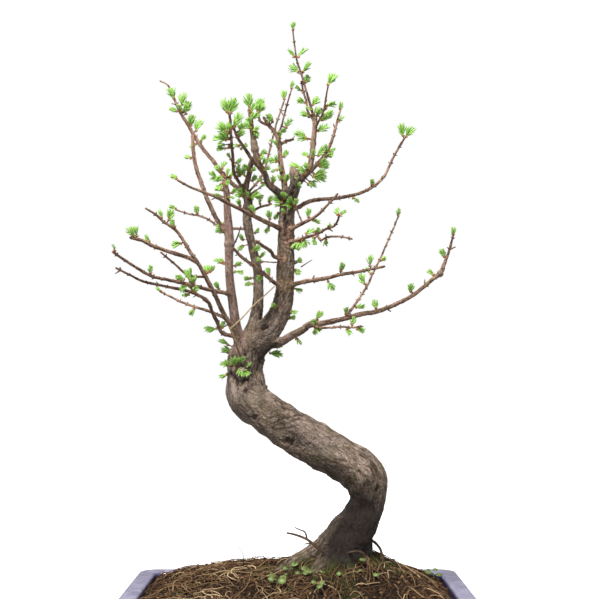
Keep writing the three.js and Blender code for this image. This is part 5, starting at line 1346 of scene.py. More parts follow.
@dataclass
class Wood:
    """Trunk, branches and roots: old wood grown into one skin, and thin branches as bars."""

    skeleton: Skeleton
    voxel: float = 1.14
    thin: float = 2.3
    collar: float = 5.0
    overlap: float = 4.0
    flare: float = 0.35
    trunk_sides: int = 48
    limb_sides: int = 20
    root_sides: int = 16
    ring_spacing: float = 2.0
    bar_sides: int = 10
    bar_spacing: float = 1.4
    smoothing: int = 1
    bud_spacing: float = 11.0
    bud_size: float = 0.8
    bud_spread: float = 0.5
    stub_every: int = 4
    stub_growth: float = 2.2
    stump_reach: float = 12.0
    stump_drop: float = 9.0
    stump_bite: float = 10.0

    def build(self, material: Material) -> None:
        """Builds the wood's two pieces."""
        limbs = list(self.skeleton.limbs.values())
        buttresses = [root for root in self.skeleton.roots if root.name == "buttress"]
        self.old_grain = Grain([*limbs, *buttresses])
        self.young_grain = Grain([*limbs, *self.skeleton.roots])
        old = bmesh.new()
        young = Crowd()
        for branch in BRANCHES:
            self.add_limb(branch, old, young)
        for root in self.skeleton.roots:
            if root.name == "buttress":
                sweep(old, root, self.root_sides, self.ring_spacing)
            else:
                young.add(Shape.bar(root, 8, 1.5))
        for name, across, down, growth, _ in KNOBS:
            centre, radius = knob_place(limbs, name, across, down, growth)
            bmesh.ops.create_icosphere(old, subdivisions=2, radius=radius, matrix=Matrix.Translation(centre))
        self.add_spurs(young)
        node = ["trunk_and_branches"]
        finish_piece(self.grow_skin(old), "wood_old", material, node)
        finish_piece(self.grow_bars(young.mesh("young_wood")), "wood_young", material, node)

    def add_limb(self, branch: Branch, old: BMesh, young: Crowd) -> None:
        """Adds a branch: its thick part and its collar to the old wood, the rest as a bar."""
        limb = self.skeleton.limbs[branch.name]
        parent = self.skeleton.limbs.get(branch.parent or "")
        seat = float(parent.radii[parent.nearest(limb.centres[0])]) if parent else 0.0
        last = len(limb.centres) - 1
        thick = int(np.argmax(limb.radii < self.thin)) if (limb.radii < self.thin).any() else last
        if seat >= self.thin:
            thick = max(thick, min(last, round((seat + self.collar) / limb.step)))
        base = float(limb.radii[min(last, round(seat / limb.step))])

        def spread(share: float, angle: float) -> float:
            """Widening of the collar, and narrowing where the bar takes over."""
            run = share * limb.length
            wide = 1 + self.flare * math.exp(-max(run - seat, 0) / (1.4 * base)) * (parent is not None)
            left = thick * limb.step - run
            narrow = 1 if thick == last else 0.88 + 0.12 * min(1.0, left / self.collar)
            return wide * narrow

        if thick:
            relief = trunk_relief if branch.name == "trunk" else spread
            sides = self.trunk_sides if branch.name == "trunk" else self.limb_sides
            sweep(old, limb, sides, self.ring_spacing, relief, (0, thick))
        if thick < last:
            start = max(0, thick - round(self.overlap / limb.step)) if thick else 0
            young.add(Shape.bar(limb, self.bar_sides, self.bar_spacing, span=(start, last), round_end=0.9))
            self.add_buds(young, limb, start)

    def add_buds(self, young: Crowd, limb: Limb, start: int) -> None:
        """Adds pairs of small buds along a thin branch, each pair turned from the one before."""
        every = round(self.bud_spacing / limb.step)
        for number, i in enumerate(range(start + every, len(limb.centres) - 2, every)):
            turn = GOLDEN_ANGLE * number + limb.length
            for side in (0, math.pi):
                out = math.cos(turn + side) * limb.normals[i] + math.sin(turn + side) * limb.binormals[i]
                foot = limb.centres[i] + out * limb.radii[i] * 0.6
                heading = out + limb.tangents[i] * 0.8
                vary = noise.noise((i * 0.37, number * 0.71, limb.length))
                size = self.bud_size + self.bud_spread * vary
                if number % self.stub_every == 1 and side:
                    size *= self.stub_growth
                points = [foot, foot + heading * size, foot + heading * size * 1.8]
                line = Limb("bud", points, (1.6, 0.9), 0.5)
                young.add(Shape.bar(line, 6, 1.0, round_end=0.9))

    def add_spurs(self, young: Crowd) -> None:
        """Adds the short spur that each rosette stands on."""
        for rosette in self.skeleton.rosettes:
            out = rosette.foot - rosette.centre
            if np.linalg.norm(out) < 1.0:
                continue
            middle = rosette.centre + out * 0.6
            end = rosette.foot + rosette.axis * 0.8
            young.add(Shape.bar(Limb("spur", [rosette.centre, middle, end], (1.7, 1.2)), 7, 1.5))

    def grow_skin(self, bm: BMesh) -> Mesh:
        """Grows one skin over the old wood and roughens it into bark."""
        bmesh.ops.recalc_face_normals(bm, faces=bm.faces)
        rough = bpy.data.meshes.new("old_wood")
        bm.to_mesh(rough)
        bm.free()
        carrier = bpy.data.objects.new("old_wood", rough)
        link(carrier)
        skin = carrier.modifiers.new("skin", "REMESH")
        skin.mode = "VOXEL"
        skin.voxel_size = self.voxel
        smooth = carrier.modifiers.new("smooth", "SMOOTH")
        smooth.factor = 0.5
        smooth.iterations = self.smoothing
        seen = carrier.evaluated_get(bpy.context.evaluated_depsgraph_get())
        mesh = bpy.data.meshes.new_from_object(seen)
        bpy.data.objects.remove(carrier)
        bpy.data.meshes.remove(rough)
        places = read_places(mesh)
        normals = read_normals(mesh)
        sample, straight = self.old_grain.read(places)
        radii = self.old_grain.radii[sample]
        smooth_bark = self.old_grain.smooth[sample]
        lift, crevice = self.bark_height(straight, radii, smooth_bark)
        ragged = np.array([noise.noise((x * 0.33, y * 0.33, z * 0.33)) for x, y, z in places])
        scar_lift, scar_dark = self.scar_height(places, normals, ragged)
        crease_lift, crease_dark = self.crease_height(places, normals, ragged)
        places = places + normals * (lift + scar_lift + crease_lift)[:, None]
        places = self.splinter(places)
        mesh.vertices.foreach_set("co", places.astype(np.float32).ravel())
        # The crevice mask is painted shade in the cracks, scar hollows and creases
        self.old_grain.paint(mesh, places, sample, straight, np.clip(crevice + scar_dark + crease_dark, 0, 1))
        return mesh

    def bark_height(self, straight: Array, radii: Array, smooth_bark: Array) -> tuple[Array, Array]:
        """Height and darkness of the bark: soft ropes, fine cracks and flakes along the grain; the darkness
        is painted shade in the cracks and wrinkles, partly the bark's own darker fissures.
        """
        lift = np.zeros(len(straight))
        dark = np.zeros(len(straight))
        for i, (x, y, z) in enumerate(straight):
            thick = min(1.0, radii[i] / 16)
            flaky = max(0.0, 1 - abs(thick - 0.45) * 1.6)
            depth = (0.35 + 0.75 * thick + 0.5 * flaky) * (1 - 0.6 * smooth_bark[i])
            wander = noise.noise((x * 0.05, y * 0.05, z * 0.03)) * 2.2
            broad = noise.fractal((x * 0.13, y * 0.13, z * 0.05), 0.9, 2.1, 4)
            crack = abs(noise.noise((x * 0.34 + wander, y * 0.34, z * 0.06)))
            wrinkle = abs(noise.noise((x * 0.5 + wander, y * 0.5 - wander, z * 0.2)))
            flakes = noise.fractal((x * 0.9, y * 0.9, z * 0.36), 0.8, 2.2, 3)
            cut = max(0.0, 1 - crack / 0.09) * max(0.0, min(1.0, 0.65 + 0.4 * flaky - 2.2 * broad))
            line = max(0.0, 1 - wrinkle / 0.08)
            lift[i] = depth * (0.5 * broad + 0.4 * flakes - 0.6 * cut - 0.28 * line)
            dark[i] = 0.7 * cut + 0.35 * line * (0.5 + 0.5 * thick) - 0.3 * broad - 0.3 * flakes
        return lift, dark

    def splinter(self, places: Array) -> Array:
        """Splits the top of the dead stump into uneven prongs."""
        stump = self.skeleton.limbs["split_stump"]
        top = stump.centres[-1]
        near = np.linalg.norm(places - top, axis=1)
        height = (places - top) @ stump.tangents[-1]
        moved = places.copy()
        for i in np.flatnonzero((near < self.stump_reach) & (height > -self.stump_drop)):
            x, y, _ = places[i]
            slant = 0.5 + 0.5 * math.tanh((x - top[0]) * 0.5)
            bite = max(0.0, min(1.0, 0.1 + 0.6 * slant + 2.4 * noise.noise((x * 0.9, y * 0.4, 2.0))))
            sink = min(self.stump_bite, (height[i] + self.stump_drop) * 0.9)
            moved[i] -= stump.tangents[-1] * bite * sink
        return moved

    def scar_height(self, places: Array, normals: Array, ragged: Array) -> tuple[Array, Array]:
        """Height and darkness of the old scars: rings of bark round a hollow; the darkness is painted shade
        in the hollow and between the rings, partly the scars' own darker bark.
        """
        lift = np.zeros(len(places))
        dark = np.zeros(len(places))
        seen = SHEET.seen(places)
        front = np.clip(-normals[:, 1] * 2, 0, 1)
        for scar in SCARS:
            offset = (seen - (scar.across, scar.down)) / scar.radius
            far = np.hypot(offset[:, 0], offset[:, 1] * 1.15) + 0.5 * ragged
            turn = np.arctan2(offset[:, 1], offset[:, 0])
            patchy = np.clip(0.7 + 2 * ragged, 0, 1)
            rings = np.cos(far * 11 + 1.2 * np.sin(2 * turn)) * np.exp(-far * 1.3) * patchy
            hollow = np.exp(-((far / 0.28) ** 2))
            fade = np.clip(1.6 - far, 0, 1) * front * scar.strength
            lift += fade * (0.7 * rings - 1.0 * hollow)
            dark += fade * (0.7 * np.clip(-rings * 1.6, 0, 1) + 0.9 * hollow)
        return lift, dark

    def crease_height(self, places: Array, normals: Array, ragged: Array) -> tuple[Array, Array]:
        """Height and darkness of the creases in the wood's front; the darkness is painted shade in the
        grooves.
        """
        lift = np.zeros(len(places))
        dark = np.zeros(len(places))
        seen = SHEET.seen(places)
        front = np.clip(-normals[:, 1] * 2 + 0.3, 0, 1)
        for crease in CREASES:
            far = np.full(len(places), np.inf)
            for start, end in zip(np.array(crease.route, float), np.array(crease.route, float)[1:]):
                span = end - start
                share = np.clip((seen - start) @ span / (span @ span), 0, 1)
                far = np.minimum(far, np.linalg.norm(seen - start - share[:, None] * span, axis=1))
            groove = np.exp(-(((far + 2.4 * ragged) / crease.width) ** 2)) * front
            lift -= crease.depth * groove
            dark += crease.darkness * groove
        return lift, dark

    def grow_bars(self, mesh: Mesh) -> Mesh:
        """Finishes the thin branches: uneven thickness, swellings and bark."""
        places = read_places(mesh)
        normals = read_normals(mesh)
        sample, straight = self.young_grain.read(places)
        radii = self.young_grain.radii[sample]
        lumps = np.array([noise.fractal((x * 0.5, y * 0.5, z * 0.22), 0.9, 2.0, 3) for x, y, z in straight])
        joints = np.array([max(0.0, noise.noise((z * 0.11, 3.1, 0.0))) ** 3 * 3 for _, _, z in straight])
        places = places + normals * (radii * (0.24 * lumps + 0.2 * joints))[:, None]
        mesh.vertices.foreach_set("co", places.astype(np.float32).ravel())
        # Painted shade in the dips between the lumps
        self.young_grain.paint(mesh, places, sample, straight, np.clip(-lumps * 0.8, 0, 1))
        return mesh


@dataclass
class Foliage:
    """Tufts of needles, one piece for each branch, and the bud scales at their feet."""

    skeleton: Skeleton
    needle_length: float = 9.0
    needle_width: float = 1.6
    needle_thickness: float = 0.5
    needle_arch: float = 0.7
    needle_profile: tuple[float, ...] = (0.45, 0.95, 1.0, 0.9, 0.4)
    fewest: int = 9
    per_reach: float = 0.35
    longest: float = 10.5
    shortest: float = 5.6
    length_share: float = 0.62
    axis_share: float = 0.36
    flatness: float = 0.42
    splay: Pair = (35.0, 4.0)
    scale_length: float = 2.6
    scale_width: float = 1.5
    scale_arch: float = 0.4
    scale_profile: tuple[float, ...] = (0.7, 1.0, 0.6, 0.1)
    scales: int = 7

    def build(self, needle_finish: Material, scale_finish: Material) -> None:
        """Builds the tufts and the bud scales."""
        numbers = Random(SEED)
        self.needle = self.make_blade(
            self.needle_length, self.needle_profile, self.needle_width, self.needle_arch)
        self.scale = self.make_blade(
            self.scale_length, self.scale_profile, self.scale_width, self.scale_arch)
        scales = Crowd("tone")
        for branch in BRANCHES:
            rosettes = [item for item in self.skeleton.rosettes if item.branch == branch.name]
            if not rosettes:
                continue
            tufts = Crowd("along", "tone")
            for rosette in rosettes:
                self.add_rosette(tufts, rosette, numbers)
                self.add_scales(scales, rosette, numbers)
            stem = f"needles_{branch.name}_"
            replaced = [node for node in frame["nodes"]
                        if node.startswith(stem) and node[len(stem):].isdigit()]
            name = f"tufts_{branch.name}"
            finish_piece(tufts.mesh(name), name, needle_finish, replaced)
        finish_piece(scales.mesh("bud_scales"), "bud_scales", scale_finish)

    def make_blade(self, length: float, profile: tuple[float, ...], width: float, arch: float) -> Shape:
        """Makes a thin blade along +X with its face to +Z, arched.

        Args:
            length: Its length.
            profile: Its width at even steps, as a share of its widest.
            width: Its widest.
            arch: How far its middle rises.

        Returns:
            The blade.
        """
        steps = len(profile) - 1
        points = [(length * i / steps, 0.0, 0.0) for i in range(steps + 1)]
        bm = bmesh.new()
        line = Limb("blade", points, [width * share for share in profile], length / (steps * 4))
        for vertex in sweep(bm, line, 4, length / steps, round_end=0.8):
            thin = vertex.co.z * self.needle_thickness / width
            vertex.co.z = thin + arch * math.sin(math.pi * min(1.0, max(0.0, vertex.co.x / length)))
        return Shape.take(bm)

    def add_rosette(self, tufts: Crowd, rosette: Rosette, numbers: Random) -> None:
        """Adds a tuft: a slim green shoot with two ranks of needles in a loose fan, wide at its foot."""
        axis = Vector(rosette.axis)
        foot = Vector(rosette.foot)
        front = Vector((numbers.gauss(0, 0.5), -1, numbers.gauss(0.35, 0.4)))
        front = (front - axis * front.dot(axis)).normalized()
        across = front.cross(axis)
        shoot = rosette.reach * self.axis_share
        stalk = Limb("shoot", [foot - axis, foot + axis * shoot * 0.5, foot + axis * shoot], (1.3, 0.7), 0.5)
        shade = numbers.uniform(0.0, 0.5)
        tufts.add(Shape.bar(stalk, 5, 2.0), along=0.2, tone=shade)
        along = np.clip(self.needle.places[:, 0] / self.needle_length, 0, 1)
        count = round(self.fewest + rosette.reach * self.per_reach)
        wide, narrow = self.splay
        for i in range(count):
            share = (i + 0.5) / count
            splay = math.radians(wide + (narrow - wide) * share + numbers.uniform(-9, 9))
            turn = math.pi * (i % 2) + numbers.gauss(0, self.flatness)
            side = across * math.cos(turn) + front * math.sin(turn)
            heading = axis * math.cos(splay) + side * math.sin(splay)
            size = 0.72 + 0.28 * math.sin(math.pi * min(1.0, share * 1.15))
            length = min(self.longest, max(self.shortest, rosette.reach * self.length_share)) * size
            long = length * numbers.uniform(0.85, 1.12) / self.needle_length
            face = (front - heading * heading.dot(front)).normalized()
            face = (face + face.cross(heading) * numbers.uniform(-0.55, 0.55)).normalized()
            matrix = basis(heading * long, face.cross(heading) * numbers.uniform(0.85, 1.15), face * long,
                           foot + axis * shoot * share)
            tone = min(1.0, max(0.0, shade + numbers.uniform(-0.2, 0.3)))
            tufts.add(self.needle, matrix, along=along, tone=tone)

    def add_scales(self, scales: Crowd, rosette: Rosette, numbers: Random) -> None:
        """Adds the dry scales round a tuft's foot."""
        axis = Vector(rosette.axis)
        across, over = square_to(axis)
        foot = Vector(rosette.foot)
        for i in range(self.scales):
            turn = FULL_TURN * i / self.scales + numbers.uniform(-0.3, 0.3)
            side = across * math.cos(turn) + over * math.sin(turn)
            splay = math.radians(numbers.uniform(14, 48))
            heading = axis * math.cos(splay) + side * math.sin(splay)
            face = (side - heading * side.dot(heading)).normalized()
            long = numbers.uniform(0.75, 1.15)
            matrix = basis(heading * long, face.cross(heading), face * long, foot - axis * 0.9 + side * 0.55)
            scales.add(self.scale, matrix, tone=numbers.random())


def square_to(axis: Vector) -> tuple[Vector, Vector]:
    """Two directions square to an axis and to each other."""
    helper = Vector((0, 0, 1)) if abs(axis.z) < 0.9 else Vector((1, 0, 0))
    across = axis.cross(helper).normalized()
    return across, axis.cross(across)


def basis(x: Vector, y: Vector, z: Vector, origin: Vector) -> Matrix:
    """A placement with the given columns."""
    matrix = Matrix.Identity(4)
    for column, vector in enumerate((x, y, z, origin)):
        for row in range(3):
            matrix[row][column] = vector[row]
    return matrix


# Pot


@dataclass
class Pot:
    """The glazed pot: stepped-in corners, a rolled lip, four feet and two drain holes."""

    size: PotSize = POT
    corner_steps: int = 7
    wall_height: float = 62.0
    lip_bottom: float = 70.0
    foot_taper: Pair = (0.93, 0.9)
    foot_corner: float = 6.0
    foot_corner_steps: int = 5
    drill_sides: int = 40
    drill_depth: float = 60.0
    # Outside from the lip's widest line down to the base, then inside from it to the floor
    outside: tuple[Pair, ...] = (
        (0, 77), (0, 74), (0.5, 72), (2, 70.6), (4.6, 70), (5.2, 68.5), (4.6, 60), (3.6, 46), (3.8, 32),
        (5.4, 20), (8, 12), (10, 8.6), (12, 8),
    )
    inside: tuple[Pair, ...] = (
        (0, 80.5), (0.7, 82.6), (2.4, 83.8), (4.5, 84), (10, 83.6), (15, 84), (17, 83.5), (18.5, 82),
        (19, 79.5), (19, 60), (19, 34), (20, 24), (24, 20),
    )

    def build(self, material: Material) -> None:
        """Builds the pot."""
        bm = bmesh.new()
        under = self.rings(bm, self.outside)
        within = self.rings(bm, self.inside)
        bmesh.ops.bridge_loops(bm, edges=under[0] + within[0])
        bmesh.ops.contextual_create(bm, geom=under[-1])
        bmesh.ops.contextual_create(bm, geom=within[-1])
        bmesh.ops.recalc_face_normals(bm, faces=bm.faces)
        for sx in (-1, 1):
            for sy in (-1, 1):
                self.add_foot(bm, sx, sy)
        mesh = self.drilled(bm)
        places = read_places(mesh)
        size = self.size
        inner = [
            size.holds(x, y, size.lip_width - 1.5) * float(np.clip((size.height - 0.5 - z) / 2.5, 0, 1))
            for x, y, z in places
        ]
        put_numbers(mesh, "inside", np.array(inner))
        put_numbers(mesh, "bare", np.clip((2.5 - places[:, 2]) / 1.0, 0, 1))
        finish_piece(mesh, "pot_glazed", material, ["pot"])

    def rings(self, bm: BMesh, profile: Sequence[Pair]) -> list[list[BMEdge]]:
        """Stacks outlines of the plan along a profile and bridges each to the next."""
        loops = [self.outline(bm, inset, height) for inset, height in profile]
        for lower, upper in zip(loops, loops[1:]):
            bmesh.ops.bridge_loops(bm, edges=lower + upper)
        return loops

    def outline(self, bm: BMesh, inset: float, height: float) -> list[BMEdge]:
        """Draws the plan at an inset and a height, with its corners rounded."""
        rise = min(1.0, max(0.0, (height - self.size.foot_height) / self.wall_height))
        leaning = inset < self.size.lip_width - 1 and height < self.lip_bottom
        scale = 1 - self.size.lean * (1 - rise) if leaning else 1.0
        corners = self.size.corners(inset)
        plan = [bm.verts.new((x * scale, y * scale, height)) for x, y, _ in corners]
        bmesh.ops.contextual_create(bm, geom=plan)
        loop = set(plan)
        for radius in sorted({corner[2] for corner in corners}, reverse=True):
            chosen = [vertex for vertex, corner in zip(plan, corners) if corner[2] == radius]
            out = bmesh.ops.bevel(bm, geom=chosen, affect="VERTICES", offset=radius,
                                  segments=self.corner_steps, profile=0.5, material=-1)
            loop = {vertex for vertex in loop if vertex.is_valid} | set(out["verts"])
        face = next(face for face in next(iter(loop)).link_faces)
        edges = list(face.edges)
        bmesh.ops.delete(bm, geom=[face], context="FACES_ONLY")
        return edges

    def add_foot(self, bm: BMesh, sx: int, sy: int) -> None:
        """Adds a foot: a block with rounded edges that widens upwards into the base."""
        size = self.size
        x = sx * (size.length / 2 - size.notch_length - size.foot_inset - size.foot_length / 2)
        y = sy * (size.width / 2 - size.notch_width - size.foot_inset - size.foot_width / 2)
        tall = size.foot_height + 2
        verts = bmesh.ops.create_cube(bm, size=1.0)["verts"]
        bmesh.ops.scale(bm, vec=(size.foot_length, size.foot_width, tall), verts=verts)
        for vertex in verts:
            if vertex.co.z < 0:
                vertex.co.x *= self.foot_taper[0]
                vertex.co.y *= self.foot_taper[1]
        bmesh.ops.translate(bm, vec=(x, y, tall / 2), verts=verts)
        upright = [edge for edge in dict.fromkeys(edge for vertex in verts for edge in vertex.link_edges)
                   if abs(edge.verts[0].co.z - edge.verts[1].co.z) > 1]
        bmesh.ops.bevel(bm, geom=upright, affect="EDGES", offset=self.foot_corner,
                        segments=self.foot_corner_steps, profile=0.5, material=-1)

    def drilled(self, bm: BMesh) -> Mesh:
        """Cuts the drain holes through the floor."""
        body = bpy.data.meshes.new("pot_body")
        bm.to_mesh(body)
        bm.free()
        drill = bmesh.new()
        radius = self.size.drain_hole / 2
        for side in (-1, 1):
            place = Matrix.Translation((side * self.size.drain_spacing / 2, 0, 10))
            bmesh.ops.create_cone(drill, cap_ends=True, segments=self.drill_sides, radius1=radius,
                                  radius2=radius, depth=self.drill_depth, matrix=place)
        cutter = bpy.data.meshes.new("drill")
        drill.to_mesh(cutter)
        drill.free()
        carrier, tool = (bpy.data.objects.new(mesh.name, mesh) for mesh in (body, cutter))
        for item in (carrier, tool):
            link(item)
        cut = carrier.modifiers.new("drain", "BOOLEAN")
        cut.operation = "DIFFERENCE"
        cut.solver = "EXACT"
        cut.use_self = True
        cut.object = tool
        mesh = bpy.data.meshes.new_from_object(carrier.evaluated_get(bpy.context.evaluated_depsgraph_get()))
        for item in (carrier, tool):
            bpy.data.objects.remove(item)
        return mesh


# Soil and what lies and grows on it


@dataclass(frozen=True)
class FibreKind:
    """A kind of dead fibre: how many, and the ranges of its length, width, arch and shade."""

    count: int
    length: Pair
    width: Pair
    arch: Pair
    tone: float
    sides: int


@dataclass
class Soil:
    """The soil's body with its crumbs, and the dead fibres and straw that lie on it."""

    pot: PotSize = POT
    cell: float = 1.6
    margin: float = 1.6
    bottom: float = 22.0
    fibres: tuple[FibreKind, ...] = (
        FibreKind(1700, (8, 34), (0.4, 0.8), (0.2, 2.2), 0.36, 3),
        FibreKind(640, (14, 50), (0.7, 1.3), (0.4, 4.0), 0.62, 4),
        FibreKind(36, (14, 44), (1.2, 1.8), (0.5, 3.0), 0.85, 5),
    )
    crumbs: int = 4200
    crumb_kinds: int = 9
    crumb_size: Pair = (0.6, 1.9)
    crumb_lift: float = 0.25
    roughness: float = 1.1
    bends: int = 5
    dip: float = 0.8
    rest: float = 0.5
    wandering: float = 0.75
    lip_fibres: tuple[tuple[int, int], ...] = ((-1, 16), (1, 10))

    def build(self, soil: Material, fibre: Material) -> None:
        """Builds the soil's pieces."""
        numbers = Random(SEED + 1)
        self.build_body(soil)
        self.build_crumbs(fibre, numbers)
        self.build_fibres(fibre, numbers)

    def surface(self, x: float, y: float) -> float:
        """Height of the soil with its crumbly roughness."""
        rough = noise.fractal((x * 0.11, y * 0.11, 0.0), 0.8, 2.2, 5)
        clods = 0.5 - noise.cell_vector((x * 0.2, y * 0.2, 0.0)).x
        return GROUND.top(x, y) + self.roughness * (rough + 0.5 * clods)

    def build_body(self, material: Material) -> None:
        """Builds the soil's body: a rough top over a plain block that fills the pot."""
        bm = bmesh.new()
        half_x = self.pot.length / 2 - self.pot.lip_width + self.margin
        half_y = self.pot.width / 2 - self.pot.lip_width + self.margin
        across, deep = (round(2 * half / self.cell) for half in (half_x, half_y))
        bmesh.ops.create_grid(bm, x_segments=across, y_segments=deep, size=1.0,
                              matrix=Matrix.Diagonal((half_x, half_y, 1, 1)))
        outside = [face for face in bm.faces
                   if not self.pot.holds(*face.calc_center_median().xy, self.pot.lip_width - self.margin)]
        bmesh.ops.delete(bm, geom=outside, context="FACES")
        for vertex in bm.verts:
            vertex.co.z = self.surface(vertex.co.x, vertex.co.y)
        edges = [edge for edge in bm.edges if edge.is_boundary]
        out = bmesh.ops.extrude_edge_only(bm, edges=edges)["geom"]
        for vertex in (item for item in out if isinstance(item, BMVert)):
            vertex.co.z = self.bottom
        rim = [item for item in out if isinstance(item, BMEdge) and item.is_boundary]
        bmesh.ops.contextual_create(bm, geom=rim)
        finish_piece(bm, "soil_body", material, ["soil"])

    def spot(self, numbers: Random, inset: float) -> Pair:
        """A place on the soil, away from the wall by an inset."""
        while True:
            x = numbers.uniform(-1, 1) * self.pot.length / 2
            y = numbers.uniform(-1, 1) * self.pot.width / 2
            if self.pot.holds(x, y, self.pot.lip_width + inset):
                return x, y

    def build_crumbs(self, material: Material, numbers: Random) -> None:
        """Scatters crumbs of soil and bark."""
        shapes = [self.make_crumb(numbers) for _ in range(self.crumb_kinds)]
        crumbs = Crowd("tone")
        for _ in range(self.crumbs):
            x, y = self.spot(numbers, 2)
            size = numbers.uniform(*self.crumb_size)
            turn = numbers.uniform(0, FULL_TURN)
            tilt = Matrix.Rotation(turn, 4, Vector([numbers.gauss(0, 1) for _ in range(3)]))
            seat = Matrix.Translation((x, y, self.surface(x, y) + size * self.crumb_lift))
            place = seat @ tilt @ Matrix.Scale(size, 4)
            crumbs.add(numbers.choice(shapes), place, tone=numbers.random() ** 2 * 0.8)
        finish_piece(crumbs.mesh("soil_crumbs"), "soil_crumbs", material, smooth=False)

    def make_crumb(self, numbers: Random) -> Shape:
        """Makes an uneven crumb about two millimetres across."""
        bm = bmesh.new()
        stretch = Matrix.Diagonal((numbers.uniform(0.7, 1.6), 1, numbers.uniform(0.5, 1), 1))
        for vertex in bmesh.ops.create_icosphere(bm, subdivisions=1, radius=1.0, matrix=stretch)["verts"]:
            vertex.co += Vector([numbers.uniform(-0.22, 0.22) for _ in range(3)])
        return Shape.take(bm)

    def build_fibres(self, material: Material, numbers: Random) -> None:
        """Lays the mat of dead fibres, a few of them over the pot's lip."""
        mat = Crowd("tone")
        for kind in self.fibres:
            for _ in range(kind.count):
                x, y = self.spot(numbers, 4)
                points = self.wander(x, y, numbers.uniform(*kind.length), kind.arch, numbers)
                shade = min(1.0, max(0.0, numbers.gauss(kind.tone, 0.2)))
                width = numbers.uniform(*kind.width)
                line = Limb("fibre", points, (width, width * 0.6), 2.0)
                mat.add(Shape.bar(line, kind.sides, 4.0), tone=shade)
        for x, y, bearing in self.lip_spots(numbers):
            points = self.over_lip(x, y, bearing, numbers)
            line = Limb("fibre", points, (1.1, 0.6), 2.0)
            mat.add(Shape.bar(line, 4, 3.0), tone=numbers.uniform(0.3, 0.9))
        finish_piece(mat.mesh("soil_fibres"), "soil_fibres", material)

    def wander(self, x: float, y: float, length: float, arches: Pair,
               numbers: Random) -> list[Triple]:
        """A line that wanders over the soil, arched a little and dipping in at its ends."""
        bearing = numbers.uniform(0, FULL_TURN)
        points = []
        arch = numbers.uniform(*arches)
        for k in range(self.bends + 1):
            share = k / self.bends
            lift = -self.dip if share in (0, 1) else self.rest + arch * math.sin(math.pi * share)
            if not self.pot.holds(x, y, self.pot.lip_width + 1.0):
                break
            points.append((x, y, self.surface(x, y) + lift))
            bearing += numbers.uniform(-self.wandering, self.wandering)
            x += math.cos(bearing) * length / self.bends
            y += math.sin(bearing) * length / self.bends
        while len(points) < 3:
            px, py, pz = points[-1]
            points.append((px * 0.98, py * 0.98, pz + 0.3))
        return points

    def lip_spots(self, numbers: Random) -> list[Triple]:
        """Places along the front corners where fibres hang over the lip."""
        spots = []
        for side, count in self.lip_fibres:
            for _ in range(count):
                spots.append((side * numbers.uniform(100, 150), numbers.uniform(-92, -70), -math.pi / 2))
        return spots

    def over_lip(self, x: float, y: float, bearing: float, numbers: Random) -> list[Triple]:
        """A fibre that climbs from the soil over the inner edge of the lip."""
        edge = self.pot.width / 2 - self.pot.notch_width - self.pot.lip_width
        bearing += numbers.uniform(-0.5, 0.5)
        out = numbers.uniform(4, 15)
        lip = self.pot.height + 0.9
        line = ((-10, None), (-4, None), (1, lip + 0.8), (out * 0.6, lip + numbers.uniform(0, 2)), (out, lip))
        points = []
        for run, height in line:
            px = x + math.cos(bearing) * run
            py = -edge + math.sin(bearing) * run
            points.append((px, py, self.surface(px, py) + 1.0 if height is None else height))
        return points


